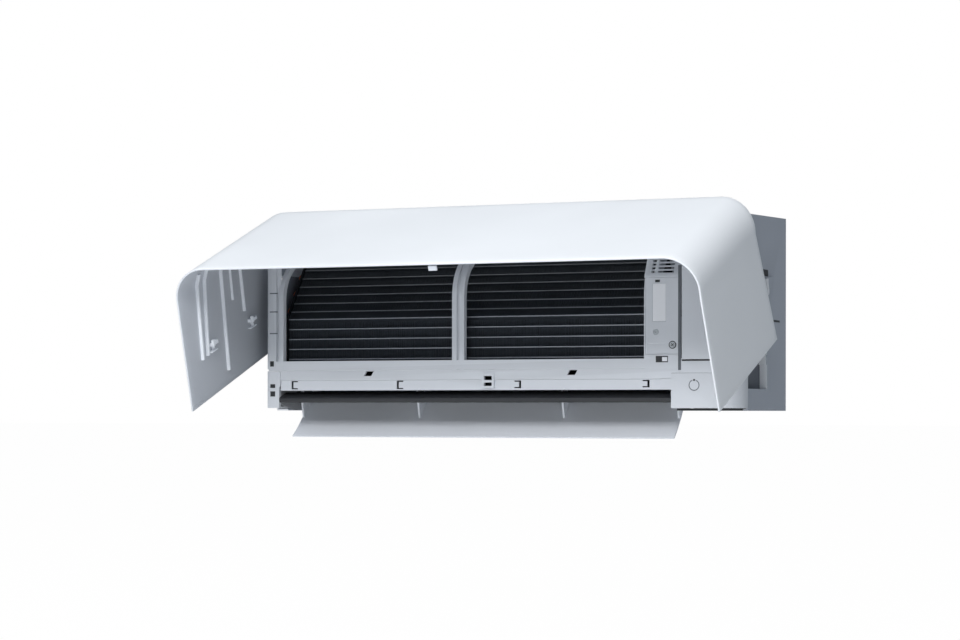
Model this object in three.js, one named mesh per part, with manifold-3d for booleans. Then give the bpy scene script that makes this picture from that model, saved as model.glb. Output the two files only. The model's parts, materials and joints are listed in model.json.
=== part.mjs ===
// Wall-mounted split air conditioner, indoor unit, with its wrap-round front panel lifted and its vane open.
// Millimetres. X runs along the unit, -Y faces the room, +Z is up, and the wall is the plane Y = 0.
// Sections are drawn as [depth, height]: depth from the wall, height from the underside of the body.
import * as THREE from 'three';
import { mergeVertices } from 'three/addons/utils/BufferGeometryUtils.js';
import Module from 'manifold-3d';

const wasm = await Module();
wasm.setup();

// ---- Driving dimensions ----

// Body
const bodyWidth = 745;
const bodyHeight = 282;
const bodyDepth = 222;
const frameReach = 34; // how far the frame stands out from the chassis
const chassisDepth = bodyDepth - frameReach;
const halfBody = bodyWidth / 2;
const topFall = 6; // the top slopes down by this much towards the room
const wall = 2.5;
const fit = 0.3; // gap between pieces that seat on each other
const sideRecess = 11;
const recessBack = 97; // depths and heights of the sunk field in each side
const recessBottom = 31;
const recessTop = 202;
const cornerRadius = 30; // rounded vertical edge at the right front
const leftRadius = 4.5; // and at the left front

// Wall plate
const plateWidth = 660;
const plateHeight = 190;
const plateThickness = 1.5;
const plateCentre = 150; // height of its middle above the body's underside, the part's origin
const hookReach = 6;

// Front frame
const leftInset = 28.7; // from the body's left side to the left window
const rightInset = 141.6; // from the body's right side to the right window
const centreRibWidth = 19.3;
const windowLeft = leftInset - halfBody;
const windowWidth = (bodyWidth - leftInset - rightInset - centreRibWidth) / 2;
const windowBottom = 73.6;
const sillStep = 59.2; // height of the step between the two front bars
const stripTop = 44.2;
const outletTop = 29.7; // underside of the frame over the air outlet
const barRelief = 1; // each bar sits this much behind the one above
const railWidth = 7.2; // curved filter rails beside the windows
const railBend = 165; // height at which the rails leave the front plane
const railRadius = 65;
const railTopAngle = 62;
const stileWidth = 16.5;
const frameTop = 270;
const topBarDrop = 8;
const columnWidth = 55.2; // right column, between the window and the side cover
const grilleStart = 190; // above this the column leans back

// Covers
const coverThickness = 2.5;
const terminalCoverBottom = 79.4;
const terminalCoverTop = 186.9;
const sideCoverTop = 255;
const sideCoverBottom = 72;
const cornerCoverTop = 52.7;
const cornerCoverBottom = 3.6;
const buttonInset = 68; // from the body's right side
const buttonX = halfBody - buttonInset;
const buttonRadius = 7;
const buttonTravel = 1.5;

// Air outlet
const outletEndInset = 21.5; // from the body's left side to the outlet
const outletLeft = outletEndInset - halfBody;
const cornerCoverWidth = 102;
const outletRight = halfBody - cornerCoverWidth;
const tongueDepth = 158;
const tongueHeight = 72;
const outletWall = 2.5;
const troughFloor = 58;

// Fan
const fanDepth = 112;
const fanHeight = 100;
const fanRadius = 47;
const fanEndGap = 13; // from the outlet's left end to the fan and the coil
const fanLeft = outletLeft + fanEndGap;
const motorSpace = 30.5; // from the fan's right end to the outlet's right end
const fanRight = outletRight - motorSpace;
const fanBlades = 14;
const fanDiscs = 4;
const bladeThickness = 1.6;
const shaftRadius = 4;
const shaftClearance = 0.06;

// Coil
const tubeBendSpace = 14; // the coil stops this far short of the fan's right end
const coilRight = fanRight - tubeBendSpace;
const coilOverhang = 6; // the coil reaches this far beyond the fan's left end
const coilLeft = fanLeft - coilOverhang;
const coilThickness = 25;
const coilFront = bodyDepth - 17;
const coilBottom = 66;
const coilBreak = 138; // the front row leans back above this height
const coilLean = 35;
const coilUpperLength = 138;
const coilRearDepth = 38;
const coilRearHeight = 178;
const coilRearLength = 80;
const coilRearLean = 37.3;
const rowPitch = 14.6;
const rowRelief = 0.8;
const endPlate = 2;

// Front panel
const panelHeight = 273;
const panelSideGap = 16.2; // from the body's side to the inside of the panel, where its rounded corners end
const cheekDepth = 214;
const cheekFlare = 0.049; // each side opens out by this much per mm of depth
const panelThickness = 2.8;
const panelWidth = bodyWidth + 2 * (panelSideGap + panelThickness);
const panelRadius = 49;
const panelDip = 14.8; // the top edge sinks by this much round the corners
const panelAngle = 68.6; // how far it is lifted from closed
const hingeSetback = 8.2; // from the frame's front face to the hinge
const hingeDepth = bodyDepth - hingeSetback;
const hingeHeight = 277.3;
const hingeToFace = 21.2;
const hingeToTop = 3.7;
const hingePin = 3;
const hingeClearance = 0.06;
const cheekRibs = [ // distance down and back of each end, then height and width
  [216.4, 26, 231.8, 151.3, 3.2, 2.6],
  [192.9, 26, 215.8, 150.1, 3.2, 2.6],
  [143.1, 26, 162.6, 192.6, 3.2, 2.6],
  [115.4, 26, 121, 97.3, 2.6, 2],
  [85.1, 26, 91.6, 124.8, 3.2, 2.4],
];
const catchLeft = 7; // the tab under the front edge that keeps the panel shut
const catchWidth = 15;
const cheekClips = [[198.2, 137.1], [74.6, 143.5]]; // distance down and back
const lugRadius = 6;
const lugThickness = 4;
const lugInset = 20; // from the body's side to the lug's outer face

// Main vane
const vaneEndGap = 6; // from the outlet's ends to the vane's
const vaneLeft = outletLeft + vaneEndGap;
const vaneRight = outletRight - vaneEndGap - 3;
const vaneFlare = 1.8; // the lip is this much wider at each end
const vaneThickness = 2.2;
const vaneSag = 4;
const vanePivotDepth = 161.4;
const vanePivotHeight = 25.1;
const vaneRear = [140, -3]; // closed, depth and height of its rear edge and of its lip
const vaneLip = [228, 5];
const vaneAngle = 52.5; // how far it is open
const vanePin = 2.5;
const vaneArms = [-147, 85]; // X of the two arms between the ends

// Inner vane
const innerPivotDepth = bodyDepth - 15;
const innerPivotHeight = 21;
const innerFront = 17;
const innerRear = 16;
const innerThickness = 9;
const innerTilt = -24;

// Guide vanes
const guideCount = 4; // in each group
const guidePitch = 70;
const guideStarts = [outletLeft + 29, (outletLeft + outletRight) / 2 + 19.25]; // X of each group's first vane
const guideLength = 26;
const guideHeight = 21;
const guideThickness = 1.6;
const guidePin = 2;
const linkReach = 9; // from a guide vane's pivot to the link bar's pin
const linkHeight = 12;
const linkWidth = 4;

// Electrical box, motors and pipes
const boxLeft = halfBody - 82.5;
const boxWidth = 74;
const boxBack = 168;
const boxFront = bodyDepth - 8;
const boxBottom = 60;
const boxTop = 258;
const cornerSetback = 14; // the box stops this far short of its right side, behind the rounded corner
const boardBack = boxBack + 10;
const motorRadius = 40;
const motorLeft = halfBody - 80.5;
const motorLength = 56;
const vaneMotorRadius = 13;
const vaneMotorLength = 15;
const vaneMotorLeft = outletRight + outletWall + fit;
const gasPipe = 6.35;
const liquidPipe = 4.2;
const insulation = 5;
const gasLine = [26, 30]; // depth and height of each pipe's run behind the fan
const liquidLine = [46, 16];
const gasPlace = [34, 20]; // how far beyond the partition each pipe turns down, and X of its free end
const liquidPlace = [60, 60];

// Derived sizes
const rightWindowLeft = windowLeft + windowWidth + centreRibWidth;
const windowRight = rightWindowLeft + windowWidth;
const columnRight = windowRight + columnWidth;
const frameFront = bodyDepth;
const upperWallEnd = [frameFront - 7, outletTop + 1.5];
const diffuserSlope = Math.atan2(upperWallEnd[1] - tongueHeight, upperWallEnd[0] - tongueDepth);

// ---- Materials ----

const paint = (name, colour, roughness, metalness = 0) =>
  new THREE.MeshStandardMaterial({ name, color: colour, roughness, metalness });

const colours = {
  panel: [0xeaeef3, 0.32],
  frame: [0xb4b8bf, 0.5],
  chassis: [0x747b85, 0.6],
  dark: [0x2b2e33, 0.55],
  vane: [0xa9aeb6, 0.42],
  fins: [0x23272d, 0.45, 0.6],
  steel: [0x9aa0a6, 0.4, 0.9],
  copper: [0xb0714a, 0.35, 0.95],
  brass: [0xb89a55, 0.35, 0.95],
  board: [0x2f6b45, 0.6],
  black: [0x17181a, 0.6],
  label: [0xdfe2e6, 0.55],
};

// ---- Solid helpers ----

// A closed geometry as a solid, with shared vertices merged.
function solid(geometry) {
  geometry.deleteAttribute('normal');
  geometry.deleteAttribute('uv');
  const merged = mergeVertices(geometry, 1e-4);
  const vertProperties = new Float32Array(merged.attributes.position.array);
  const triVerts = new Uint32Array(merged.index.array);
  return new wasm.Manifold(new wasm.Mesh({ numProp: 3, vertProperties, triVerts }));
}

function join(...solids) {
  return solids.flat().reduce((all, next) => all.add(next));
}

function cut(base, ...tools) {
  return tools.flat().reduce((left, tool) => left.subtract(tool), base);
}

// A block between two X values, two depths and two heights.
function block(x0, x1, d0, d1, z0, z1) {
  const geometry = new THREE.BoxGeometry(x1 - x0, d1 - d0, z1 - z0);
  geometry.translate((x0 + x1) / 2, -(d0 + d1) / 2, (z0 + z1) / 2);
  return solid(geometry);
}

// A section of [depth, height] points, run along X.
function bar(points, x0, x1) {
  const shape = new THREE.Shape(points.map(([d, z]) => new THREE.Vector2(-d, z)));
  const geometry = new THREE.ExtrudeGeometry(shape, { depth: x1 - x0, bevelEnabled: false });
  const turn = new THREE.Matrix4().set(0, 0, 1, x0, 1, 0, 0, 0, 0, 1, 0, 0, 0, 0, 0, 1);
  return solid(geometry.applyMatrix4(turn));
}

// An outline of [x, depth] points, run upwards.
function post(points, z0, z1) {
  const shape = new THREE.Shape(points.map(([x, d]) => new THREE.Vector2(x, -d)));
  const geometry = new THREE.ExtrudeGeometry(shape, { depth: z1 - z0, bevelEnabled: false });
  return solid(geometry.translate(0, 0, z0));
}

// An outline of [x, height] points, run from one depth to another.
function sheet(points, d0, d1) {
  const shape = new THREE.Shape(points.map(([x, z]) => new THREE.Vector2(x, z)));
  const geometry = new THREE.ExtrudeGeometry(shape, { depth: d1 - d0, bevelEnabled: false });
  return solid(geometry.rotateX(Math.PI / 2).translate(0, -d0, 0));
}

function rodAlongX(x0, x1, d, z, radius, sides = 20) {
  const geometry = new THREE.CylinderGeometry(radius, radius, x1 - x0, sides);
  return solid(geometry.rotateZ(Math.PI / 2).translate((x0 + x1) / 2, -d, z));
}

function rodAlongY(x, d0, d1, z, radius, sides = 20) {
  const geometry = new THREE.CylinderGeometry(radius, radius, d1 - d0, sides);
  return solid(geometry.translate(x, -(d0 + d1) / 2, z));
}

function rodAlongZ(x, d, z0, z1, radius, sides = 20) {
  const geometry = new THREE.CylinderGeometry(radius, radius, z1 - z0, sides);
  return solid(geometry.rotateX(Math.PI / 2).translate(x, -d, (z0 + z1) / 2));
}

// The corner radius of a polygon whose flats clear a pin of the given radius.
function boreRadius(pin, clearance, sides = 20) {
  return (pin + clearance) / Math.cos(Math.PI / sides);
}

// A tube along a smooth curve through [x, depth, height] points.
function pipe(points, radius, sides = 10, steps = 24) {
  const curve = new THREE.CatmullRomCurve3(points.map(([x, d, z]) => new THREE.Vector3(x, -d, z)));
  const ring = new THREE.Shape().absarc(0, 0, radius, 0, 2 * Math.PI);
  const options = { steps, curveSegments: sides, extrudePath: curve, bevelEnabled: false };
  return solid(new THREE.ExtrudeGeometry(ring, options));
}

// A closed outline made from a path and the same path offset to its left by a thickness.
function band(path, thickness) {
  const points = path.map(([x, y]) => new THREE.Vector2(x, y));
  const offset = points.map((point, i) => {
    const before = points[Math.max(i - 1, 0)];
    const after = points[Math.min(i + 1, points.length - 1)];
    const first = point.clone().sub(before).normalize();
    const second = after.clone().sub(point).normalize();
    const along = first.add(second).normalize();
    const side = new THREE.Vector2(-along.y, along.x);
    const edge = i === 0 ? second : point.clone().sub(before).normalize();
    const lean = Math.max(Math.abs(side.dot(new THREE.Vector2(-edge.y, edge.x))), 0.5);
    return [point.x + (side.x * thickness) / lean, point.y + (side.y * thickness) / lean];
  });
  return [...path, ...offset.reverse()];
}

// Points on an arc, from one angle to another in degrees.
function arc(cx, cy, radius, from, to, steps = 6) {
  return Array.from({ length: steps + 1 }, (_, i) => {
    const angle = THREE.MathUtils.degToRad(from + ((to - from) * i) / steps);
    return [cx + radius * Math.cos(angle), cy + radius * Math.sin(angle)];
  });
}

function node(name, shape, look) {
  const { vertProperties, triVerts } = shape.getMesh();
  const geometry = new THREE.BufferGeometry();
  geometry.setAttribute('position', new THREE.BufferAttribute(vertProperties, 3));
  geometry.setIndex(new THREE.BufferAttribute(triVerts, 1));
  geometry.computeVertexNormals();
  const mesh = new THREE.Mesh(geometry, paint(name, ...colours[look]));
  mesh.name = name;
  return mesh;
}

const mirrored = (shape) => shape.mirror([1, 0, 0]);

// Height of the body's sloping top at a depth.
const topAt = (depth) => bodyHeight - (topFall * (depth - plateThickness)) / (chassisDepth - plateThickness);

// ---- Wall plate ----

function wallPlate() {
  const half = plateWidth / 2;
  const bottom = plateCentre - plateHeight / 2;
  const top = plateCentre + plateHeight / 2;
  const notch = 24;
  const outline = [
    [-half, bottom],
    [half, bottom],
    [half, top - notch],
    [half - notch, top],
    [-half + notch, top],
    [-half, top - notch],
  ];
  const screwRadius = 3;
  const screws = [-280, -140, 140, 280].flatMap((x) =>
    [bottom + 22, top - 22].map((z) => rodAlongY(x, -1, plateThickness + 1, z, screwRadius, 12)),
  );
  const lightening = [-210, 210].map((x) =>
    block(x - 38, x + 38, -1, plateThickness + 1, plateCentre - 30, plateCentre + 30),
  );
  const hooks = [-220, 220].map((x) => plateHook(x));
  return join(cut(sheet(outline, 0, plateThickness), screws, lightening), hooks);
}

// A tongue bent forward and up at the plate's top edge, which carries the body.
function plateHook(x) {
  const halfWidth = 16;
  const start = hookStart;
  const lip = 14;
  const section = [
    [plateThickness / 2, start],
    [hookReach + plateThickness, start],
    [hookReach + plateThickness, start + lip],
    [hookReach, start + lip],
    [hookReach, start + plateThickness],
    [plateThickness / 2, start + plateThickness],
  ];
  return bar(section, x - halfWidth, x + halfWidth);
}

// ---- Rear chassis ----

const chassisBack = plateThickness + fit;

function sideWall() {
  const outer = halfBody;
  const inner = outer - wall;
  const outline = [
    [chassisBack, 0],
    [chassisDepth, 0],
    [chassisDepth, topAt(chassisDepth)],
    [chassisBack, topAt(chassisBack)],
  ];
  const field = block(inner - 1, outer + 1, recessBack, chassisDepth + 1, recessBottom, recessTop);
  const floor = outer - sideRecess;
  const tray = block(
    floor - wall,
    outer,
    recessBack - wall,
    chassisDepth,
    recessBottom - wall,
    recessTop + wall,
  );
  const hollow = block(floor, outer + 1, recessBack, chassisDepth + 1, recessBottom, recessTop);
  return join(cut(bar(outline, inner, outer), field), cut(tray, hollow), sideDetails(outer));
}

// Catch, rib and clip on the step of the sunk field, which the panel's clips meet when it is closed.
function sideDetails(outer) {
  const proud = 3;
  const root = outer - wall;
  const catchTop = 192;
  const catchBottom = 167;
  const catchWedge = bar(
    [
      [recessBack + 4, catchTop],
      [recessBack - 8, catchTop],
      [recessBack - 24, catchTop + 1],
      [recessBack - 2, catchBottom],
    ],
    root,
    outer + proud,
  );
  const rail = block(root, outer + 1, recessBack - 22, recessBack - 4, 127, 131);
  const clip = block(outer - sideRecess - 1, outer, recessBack - 1, recessBack + 5, 66, 80);
  return [catchWedge, rail, clip];
}

// Inner face of the curved guide behind and under the fan, from its leading edge to the outlet's lower lip.
function scrollPath() {
  const first = 62;
  const last = -75;
  const steps = 13;
  const startGap = 6;
  const endGap = 33;
  const path = Array.from({ length: steps + 1 }, (_, i) => {
    const share = i / steps;
    const angle = THREE.MathUtils.degToRad(first + (last - first) * share);
    const radius = fanRadius + startGap + (endGap - startGap) * share ** 1.2;
    return [fanDepth - radius * Math.cos(angle), fanHeight + radius * Math.sin(angle)];
  });
  return [...path, lowerLip];
}

const lowerLip = [131, wall];
const shelfTop = () => scrollPath()[0][1] + 2;

const partitionLeft = outletLeft + 1.5;
const partitionRight = outletRight - 8;

function rearChassis() {
  const path = scrollPath();
  const scrollTopDepth = path[0][0];
  const shelf = shelfTop();
  const parts = [
    sideWall(),
    mirrored(sideWall()),
    block(-halfBody + 1, halfBody - 1, chassisBack, chassisBack + wall, 62, topAt(chassisBack) - 0.5),
    block(-halfBody + 1, halfBody - 1, chassisBack, 22, topAt(22) - wall, topAt(22)),
    block(-halfBody + 1, halfBody - 1, 58, lowerLip[0], 0, wall),
    block(outletRight + fit + wall, halfBody - 1, 58, chassisDepth, 0, wall),
    block(-halfBody + 1, outletLeft - wall - fit, 58, chassisDepth, 0, wall),
    bar(band(path, -wall), partitionLeft, partitionRight),
    block(partitionLeft, partitionRight, chassisBack, scrollTopDepth + 1, shelf - wall, shelf),
    block(partitionLeft, partitionRight, scrollTopDepth - 8, scrollTopDepth - 6, shelf - 1, shelf + 8),
    partition(partitionLeft),
    partition(partitionRight),
  ];
  const slots = [-220, 220].map((x) =>
    block(
      x - 18,
      x + 18,
      chassisBack - 1,
      chassisBack + wall + 4,
      hookStart - 16,
      hookStart + plateThickness + fit,
    ),
  );
  return cut(join(parts), slots, shaftHole(partitionRight, 9), shaftHole(partitionLeft, bearingRadius));
}

const bearingRadius = 12;
const hookStart = plateCentre + plateHeight / 2 - 12; // underside of the plate's hooks

// An upright plate that closes one end of the fan's chamber.
function partition(x) {
  const outline = [
    [chassisBack + 1, 60],
    [fanDepth - 30, 22],
    [fanDepth - 8, 19],
    [tongueDepth - 8, 54],
    [tongueDepth - 2, 130],
    [fanDepth, 196],
    [chassisBack + 1, 196],
  ];
  return bar(outline, x, x + wall);
}

function shaftHole(x, radius) {
  return rodAlongX(x - 1, x + wall + 1, fanDepth, fanHeight, radius + 0.05, 24);
}

// ---- Outlet housing: drain trough, upper wall of the outlet, its ends and the vane hangers ----

function outletHousing() {
  const start = [tongueDepth, tongueHeight];
  const wallLine = [start, upperWallEnd];
  const tongue = [
    [tongueDepth - 1, tongueHeight - 1],
    [tongueDepth + 4, tongueHeight + 1],
    [tongueDepth + 4, tongueHeight + 9],
    [tongueDepth + 1, tongueHeight + 9],
  ];
  const troughBack = depthOfWall(troughFloor - outletWall);
  const troughFront = frameFront - 9;
  const trough = [
    [troughBack, troughFloor],
    [troughFront, troughFloor],
    [troughFront, troughFloor + 10],
    [troughFront - wall, troughFloor + 10],
    [troughFront - wall, troughFloor + wall],
    [troughBack - 3, troughFloor + wall],
  ];
  const parts = [
    bar(band(wallLine, outletWall), outletLeft, outletRight),
    bar(tongue, outletLeft, outletRight),
    bar(trough, outletLeft, outletRight),
    outletEnd(outletLeft - outletWall),
    outletEnd(outletRight),
    vaneArms.map((x) => hanger(x + armGap)),
  ];
  const guideHoles = guidePositions.map((x) => guideSeat(x));
  const linkSlots = vaneArms.map((x) => linkSlot(x + armGap));
  return cut(join(parts.flat()), guideHoles, linkSlots, endBores());
}

const armGap = 2.4;

// End wall of the outlet, with the bearings of both vanes.
function outletEnd(x) {
  const outline = [
    [tongueDepth - 8, 34],
    [tongueDepth - 8, tongueHeight - 4],
    [tongueDepth + 4, tongueHeight + 9],
    [tongueDepth + 8, tongueHeight + 4],
    [tongueDepth + 16, troughFloor + wall],
    [frameFront - 9, troughFloor + wall],
    [frameFront - 9, outletTop + 3],
    [frameFront - 7.5, outletTop + 1],
    [frameFront - 7.5, 9],
    [vanePivotDepth + 8, 0.5],
    [tongueDepth - 16, 0.5],
  ];
  return bar(outline, x, x + outletWall);
}

// A thin rib from the outlet's upper wall down to a bearing of the main vane.
function hanger(x) {
  const radius = 6;
  const topNear = tongueDepth + 6;
  const topFar = tongueDepth + 24;
  const eye = arc(vanePivotDepth, vanePivotHeight, radius, 180, 360, 8);
  const outline = [
    [topNear - 8, heightOfWall(topNear - 8) + 1],
    ...eye,
    [topFar, heightOfWall(topFar) + 1],
  ];
  return bar(outline, x, x + outletWall);
}

const heightOfWall = (depth) => tongueHeight + (depth - tongueDepth) * Math.tan(diffuserSlope);

const depthOfWall = (height) => tongueDepth + (height - tongueHeight) / Math.tan(diffuserSlope);

// The opening in a hanger through which a link bar passes.
function linkSlot(x) {
  const swing = 3;
  const slot = block(
    -1,
    outletWall + 1,
    -linkReach - swing,
    -linkReach + swing + linkWidth / 2,
    -linkHeight - swing,
    -linkHeight + swing,
  );
  return placed(slot, guideFrame(x));
}

function endBores() {
  const left = outletLeft - outletWall - 1;
  const right = outletRight + outletWall + 1;
  const main = rodAlongX(left, right, vanePivotDepth, vanePivotHeight, boreRadius(vanePin, shaftClearance));
  const inner = rodAlongX(
    left,
    right,
    innerPivotDepth,
    innerPivotHeight,
    boreRadius(vanePin, shaftClearance),
  );
  return [main, inner];
}

// ---- Guide vanes, hung from the upper wall and turned together by two link bars ----

const guidePositions = guideStarts.flatMap((start) =>
  Array.from({ length: guideCount }, (_, i) => start + guidePitch * i),
);

const guideMiddle = 0.3; // share of the upper wall's run at which the pivots sit

// The frame of one guide vane's pivot: its X axis is the unit's, its Z axis is square to the upper wall.
function guideFrame(x) {
  const depth = tongueDepth + (upperWallEnd[0] - tongueDepth) * guideMiddle;
  const group = new THREE.Group();
  group.position.set(x, -depth, heightOfWall(depth));
  group.rotation.x = -diffuserSlope;
  return group;
}

function placed(shape, group) {
  group.updateMatrixWorld(true);
  return shape.transform(group.matrixWorld.elements);
}

function guideSeat(x) {
  const bore = rodAlongZ(0, 0, -2, outletWall + 4, boreRadius(guidePin, shaftClearance, 16), 16);
  return placed(bore, guideFrame(x));
}

// One guide vane in its own frame: the plate hangs below the wall, the pin stands in the wall's bore.
function guideVane() {
  const half = guideThickness / 2;
  const front = guideLength * 0.45;
  const rear = front - guideLength;
  const outline = [
    [front, -fit * 2],
    [front - 5, -guideHeight],
    [rear + 7, -guideHeight],
    [rear, -guideHeight + 6],
    [rear, -fit * 2],
  ];
  const plate = bar(outline, -half, half);
  const pin = rodAlongZ(0, 0, -fit * 2 - 2, outletWall + 1, guidePin, 16);
  const collar = rodAlongZ(0, 0, -fit * 2 - 2, -fit * 2, guidePin + 1.4, 16);
  const notch = block(
    -2,
    2,
    -linkReach - linkWidth,
    -linkReach + linkWidth,
    -linkHeight - 2.4,
    -linkHeight + 2.4,
  );
  const linkPin = rodAlongZ(0, -linkReach, -linkHeight - 3, -linkHeight + 3, 1, 12);
  return join(cut(join(plate, pin, collar), notch), linkPin);
}

// A link bar in the frame of its first guide vane's link pin.
function linkBar() {
  const end = guidePitch * (guideCount - 1);
  const half = linkWidth / 2;
  const body = block(-half, end + half, -half, half, -1, 1);
  const bores = Array.from({ length: guideCount }, (_, i) =>
    rodAlongZ(guidePitch * i, 0, -2, 2, boreRadius(1, 0.08, 12), 12),
  );
  return cut(body, bores);
}

function guideAssembly() {
  const group = new THREE.Group();
  guidePositions.forEach((x, i) => {
    const frame = guideFrame(x);
    frame.add(node(`guide_vane_${i + 1}`, guideVane(), 'dark'));
    if (i % guideCount === 0) {
      const link = node(i === 0 ? 'guide_link_left' : 'guide_link_right', linkBar(), 'black');
      link.position.set(0, linkReach, -linkHeight);
      frame.add(link);
    }
    group.add(frame);
  });
  return group;
}

// ---- Front frame ----

// What rounds the left front corner away.
function leftTrim() {
  const outer = arc(leftRadius - halfBody, frameFront - leftRadius, leftRadius, 180, 90, 4);
  const square = [
    [-halfBody, frameFront + 1],
    [-halfBody - 1, frameFront + 1],
    [-halfBody - 1, frameFront - leftRadius],
  ];
  return post([...outer, ...square], -1, frameTop + 1);
}

function stile() {
  const left = -halfBody;
  const face = block(left, left + stileWidth, frameFront - wall, frameFront, sillStep, frameTop);
  const web = block(
    left + stileWidth - 1,
    windowLeft - railWidth + 1,
    frameFront - 6,
    frameFront - 4,
    sillStep,
    frameTop,
  );
  const step = block(
    left + stileWidth - wall,
    left + stileWidth,
    frameFront - 6,
    frameFront,
    sillStep,
    frameTop,
  );
  const side = block(left, left + wall, chassisDepth + fit, frameFront, sillStep, frameTop);
  const notches = [115.4, 146.4, 174.8].map((z) =>
    block(left - 1, left + 3.2, frameFront - 1.4, frameFront + 1, z - 1, z + 1),
  );
  const slot = block(left + 7, left + 10, frameFront - wall - 1, frameFront + 1, 64, 71);
  return cut(join(face, web, step, side), notches, slot);
}

// A rail beside a window: upright in the front plane, then curved back towards the top of the coil.
function rail(x0, x1, depth = frameFront, web = 9) {
  const front = arc(depth - railRadius, railBend, railRadius, 0, railTopAngle, 7);
  const back = arc(depth - railRadius, railBend, railRadius - web, railTopAngle, 0, 7);
  const outline = [[depth, sillStep], ...front, ...back, [depth - web, sillStep]];
  return bar(outline, x0, x1);
}

function centreRib() {
  const left = windowLeft + windowWidth;
  const groove = 4.4;
  const strip = (centreRibWidth - groove) / 2;
  return join(
    rail(left, left + strip),
    rail(left + strip - 0.5, left + strip + groove + 0.5, frameFront - 2.6, 5),
    rail(left + strip + groove, left + centreRibWidth),
  );
}

function lowerBars() {
  const second = frameFront - barRelief;
  const third = second - 2 * barRelief;
  const back = frameFront - 5;
  const outline = [
    [frameFront, windowBottom],
    [frameFront, sillStep + 0.8],
    [second, sillStep],
    [second, stripTop + 1],
    [third, stripTop],
    [third, outletTop],
    [back, outletTop],
    [back, windowBottom - wall],
    [coilFront + 3, windowBottom - wall],
    [coilFront + 3, windowBottom],
  ];
  return bar(outline, -halfBody, columnRight);
}

// The raised catch block in the middle of the lower bars, with its two windows.
function catchBlock() {
  const left = -18.5;
  const right = 0.5;
  const body = block(left, right, frameFront - 4, frameFront + 1, 32.7, 54.5);
  const windows = [[44.3, 50.1], [35.6, 40.7]].map(([z0, z1]) =>
    block(left + 3.2, right - 3.2, frameFront - 6, frameFront + 2, z0, z1),
  );
  return { body, windows };
}

// A catch slot shaped like a square bracket, open to one side.
function bracketSlot(x, z0, z1, facing) {
  const arm = 9;
  const line = 1.7;
  const inner = x + facing * arm;
  const [armLeft, armRight] = [Math.min(x, inner), Math.max(x, inner)];
  const d0 = frameFront - 6;
  const d1 = frameFront + 1;
  return [
    block(x - line, x + line, d0, d1, z0, z1),
    block(armLeft, armRight, d0, d1, z0, z0 + line),
    block(armLeft, armRight, d0, d1, z1 - line, z1),
  ];
}

function lowerSlots() {
  const slant = 4;
  const lozenges = [-201.5, 121.5].map((x) =>
    sheet(
      [[x - 8, 51], [x + 8 - slant, 51], [x + 8, 58], [x - 8 + slant, 58]],
      frameFront - 7,
      frameFront + 1,
    ),
  );
  const brackets = [
    bracketSlot(-330, 31.6, 44, 1),
    bracketSlot(-155, 31.6, 44, 1),
    bracketSlot(40, 32.4, 43.4, -1),
    bracketSlot(236, 33, 43.4, -1),
  ];
  return [...lozenges, ...brackets.flat()];
}

// The column between the right window and the side cover: it leans back at the top, where it is slotted.
function column() {
  const lean = 0.5;
  const under = frameFront - coverThickness - fit;
  const topDepth = frameFront - (frameTop - grilleStart) * lean;
  const outline = [
    [frameFront, sillStep],
    [frameFront, terminalCoverBottom - fit],
    [under, terminalCoverBottom - fit],
    [under, terminalCoverTop + fit],
    [frameFront, terminalCoverTop + fit],
    [frameFront, grilleStart],
    [topDepth, frameTop],
    [topDepth - wall, frameTop],
    [frameFront - wall - 3, grilleStart],
    [frameFront - wall - 3, sillStep],
  ];
  const body = bar(outline, windowRight, columnRight - 3);
  const rows = 5;
  const pitch = 5.3;
  const slots = Array.from({ length: rows }, (_, i) => 194 + pitch * i).flatMap((z) => [
    block(windowRight + 9.5, windowRight + 16, frameFront - 30, frameFront + 1, z, z + 2.8),
    block(windowRight + 19.5, windowRight + 42.5, frameFront - 30, frameFront + 1, z, z + 2.8),
  ]);
  const catchHole = block(windowRight + 16.8, windowRight + 34.6, frameFront - 7, frameFront + 1, 66.4, 75);
  return cut(body, slots, catchHole);
}

// Outline of the rounded right front corner as a thin wall, from one X to the side of the body.
function cornerOutline(fromX, thickness) {
  const centreX = halfBody - cornerRadius;
  const centreDepth = frameFront - cornerRadius;
  const outer = arc(centreX, centreDepth, cornerRadius, 90, 0, 7);
  const inner = arc(centreX, centreDepth, cornerRadius - thickness, 0, 90, 7);
  const rear = chassisDepth + fit;
  return [
    [fromX, frameFront],
    ...outer,
    [halfBody, rear],
    [halfBody - thickness, rear],
    ...inner,
    [fromX, frameFront - thickness],
  ];
}

function frontFrame() {
  const topBar = block(-halfBody, halfBody, 196, 219, frameTop - topBarDrop, frameTop);
  const topCorner = post(cornerOutline(columnRight - 4, wall), sideCoverTop + fit, frameTop);
  const lowerCorner = post(
    cornerOutline(columnRight - 4, wall + barRelief),
    cornerCoverTop + fit,
    sideCoverBottom - 1.5,
  );
  const catches = catchBlock();
  const shell = join(
    stile(),
    rail(windowLeft - railWidth, windowLeft),
    centreRib(),
    rail(windowRight - 0.5, windowRight + 1.5),
    lowerBars(),
    catches.body,
    column(),
    topBar,
    topCorner,
    lowerCorner,
    hingeLugs(),
  );
  const leftCorner = block(
    -halfBody - 1,
    cornerCoverLeftEdge + fit,
    chassisDepth,
    frameFront + 2,
    0,
    sillStep,
  );
  const rightCorner = block(
    outletRight - fit,
    halfBody + 1,
    frameFront - 8,
    frameFront + 2,
    0,
    cornerCoverTop + fit,
  );
  const extension = block(
    rightExtension - fit,
    outletRight,
    frameFront - 2.6 - fit,
    frameFront + 2,
    0,
    stripTop + 0.5 + fit,
  );
  const notch = block(
    -halfBody - 1,
    -halfBody + 3.8,
    chassisDepth,
    frameFront + 1,
    sillStep - 1,
    sillStep + 2.5,
  );
  return cut(shell, leftCorner, rightCorner, extension, notch, lowerSlots(), catches.windows, leftTrim());
}

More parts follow.
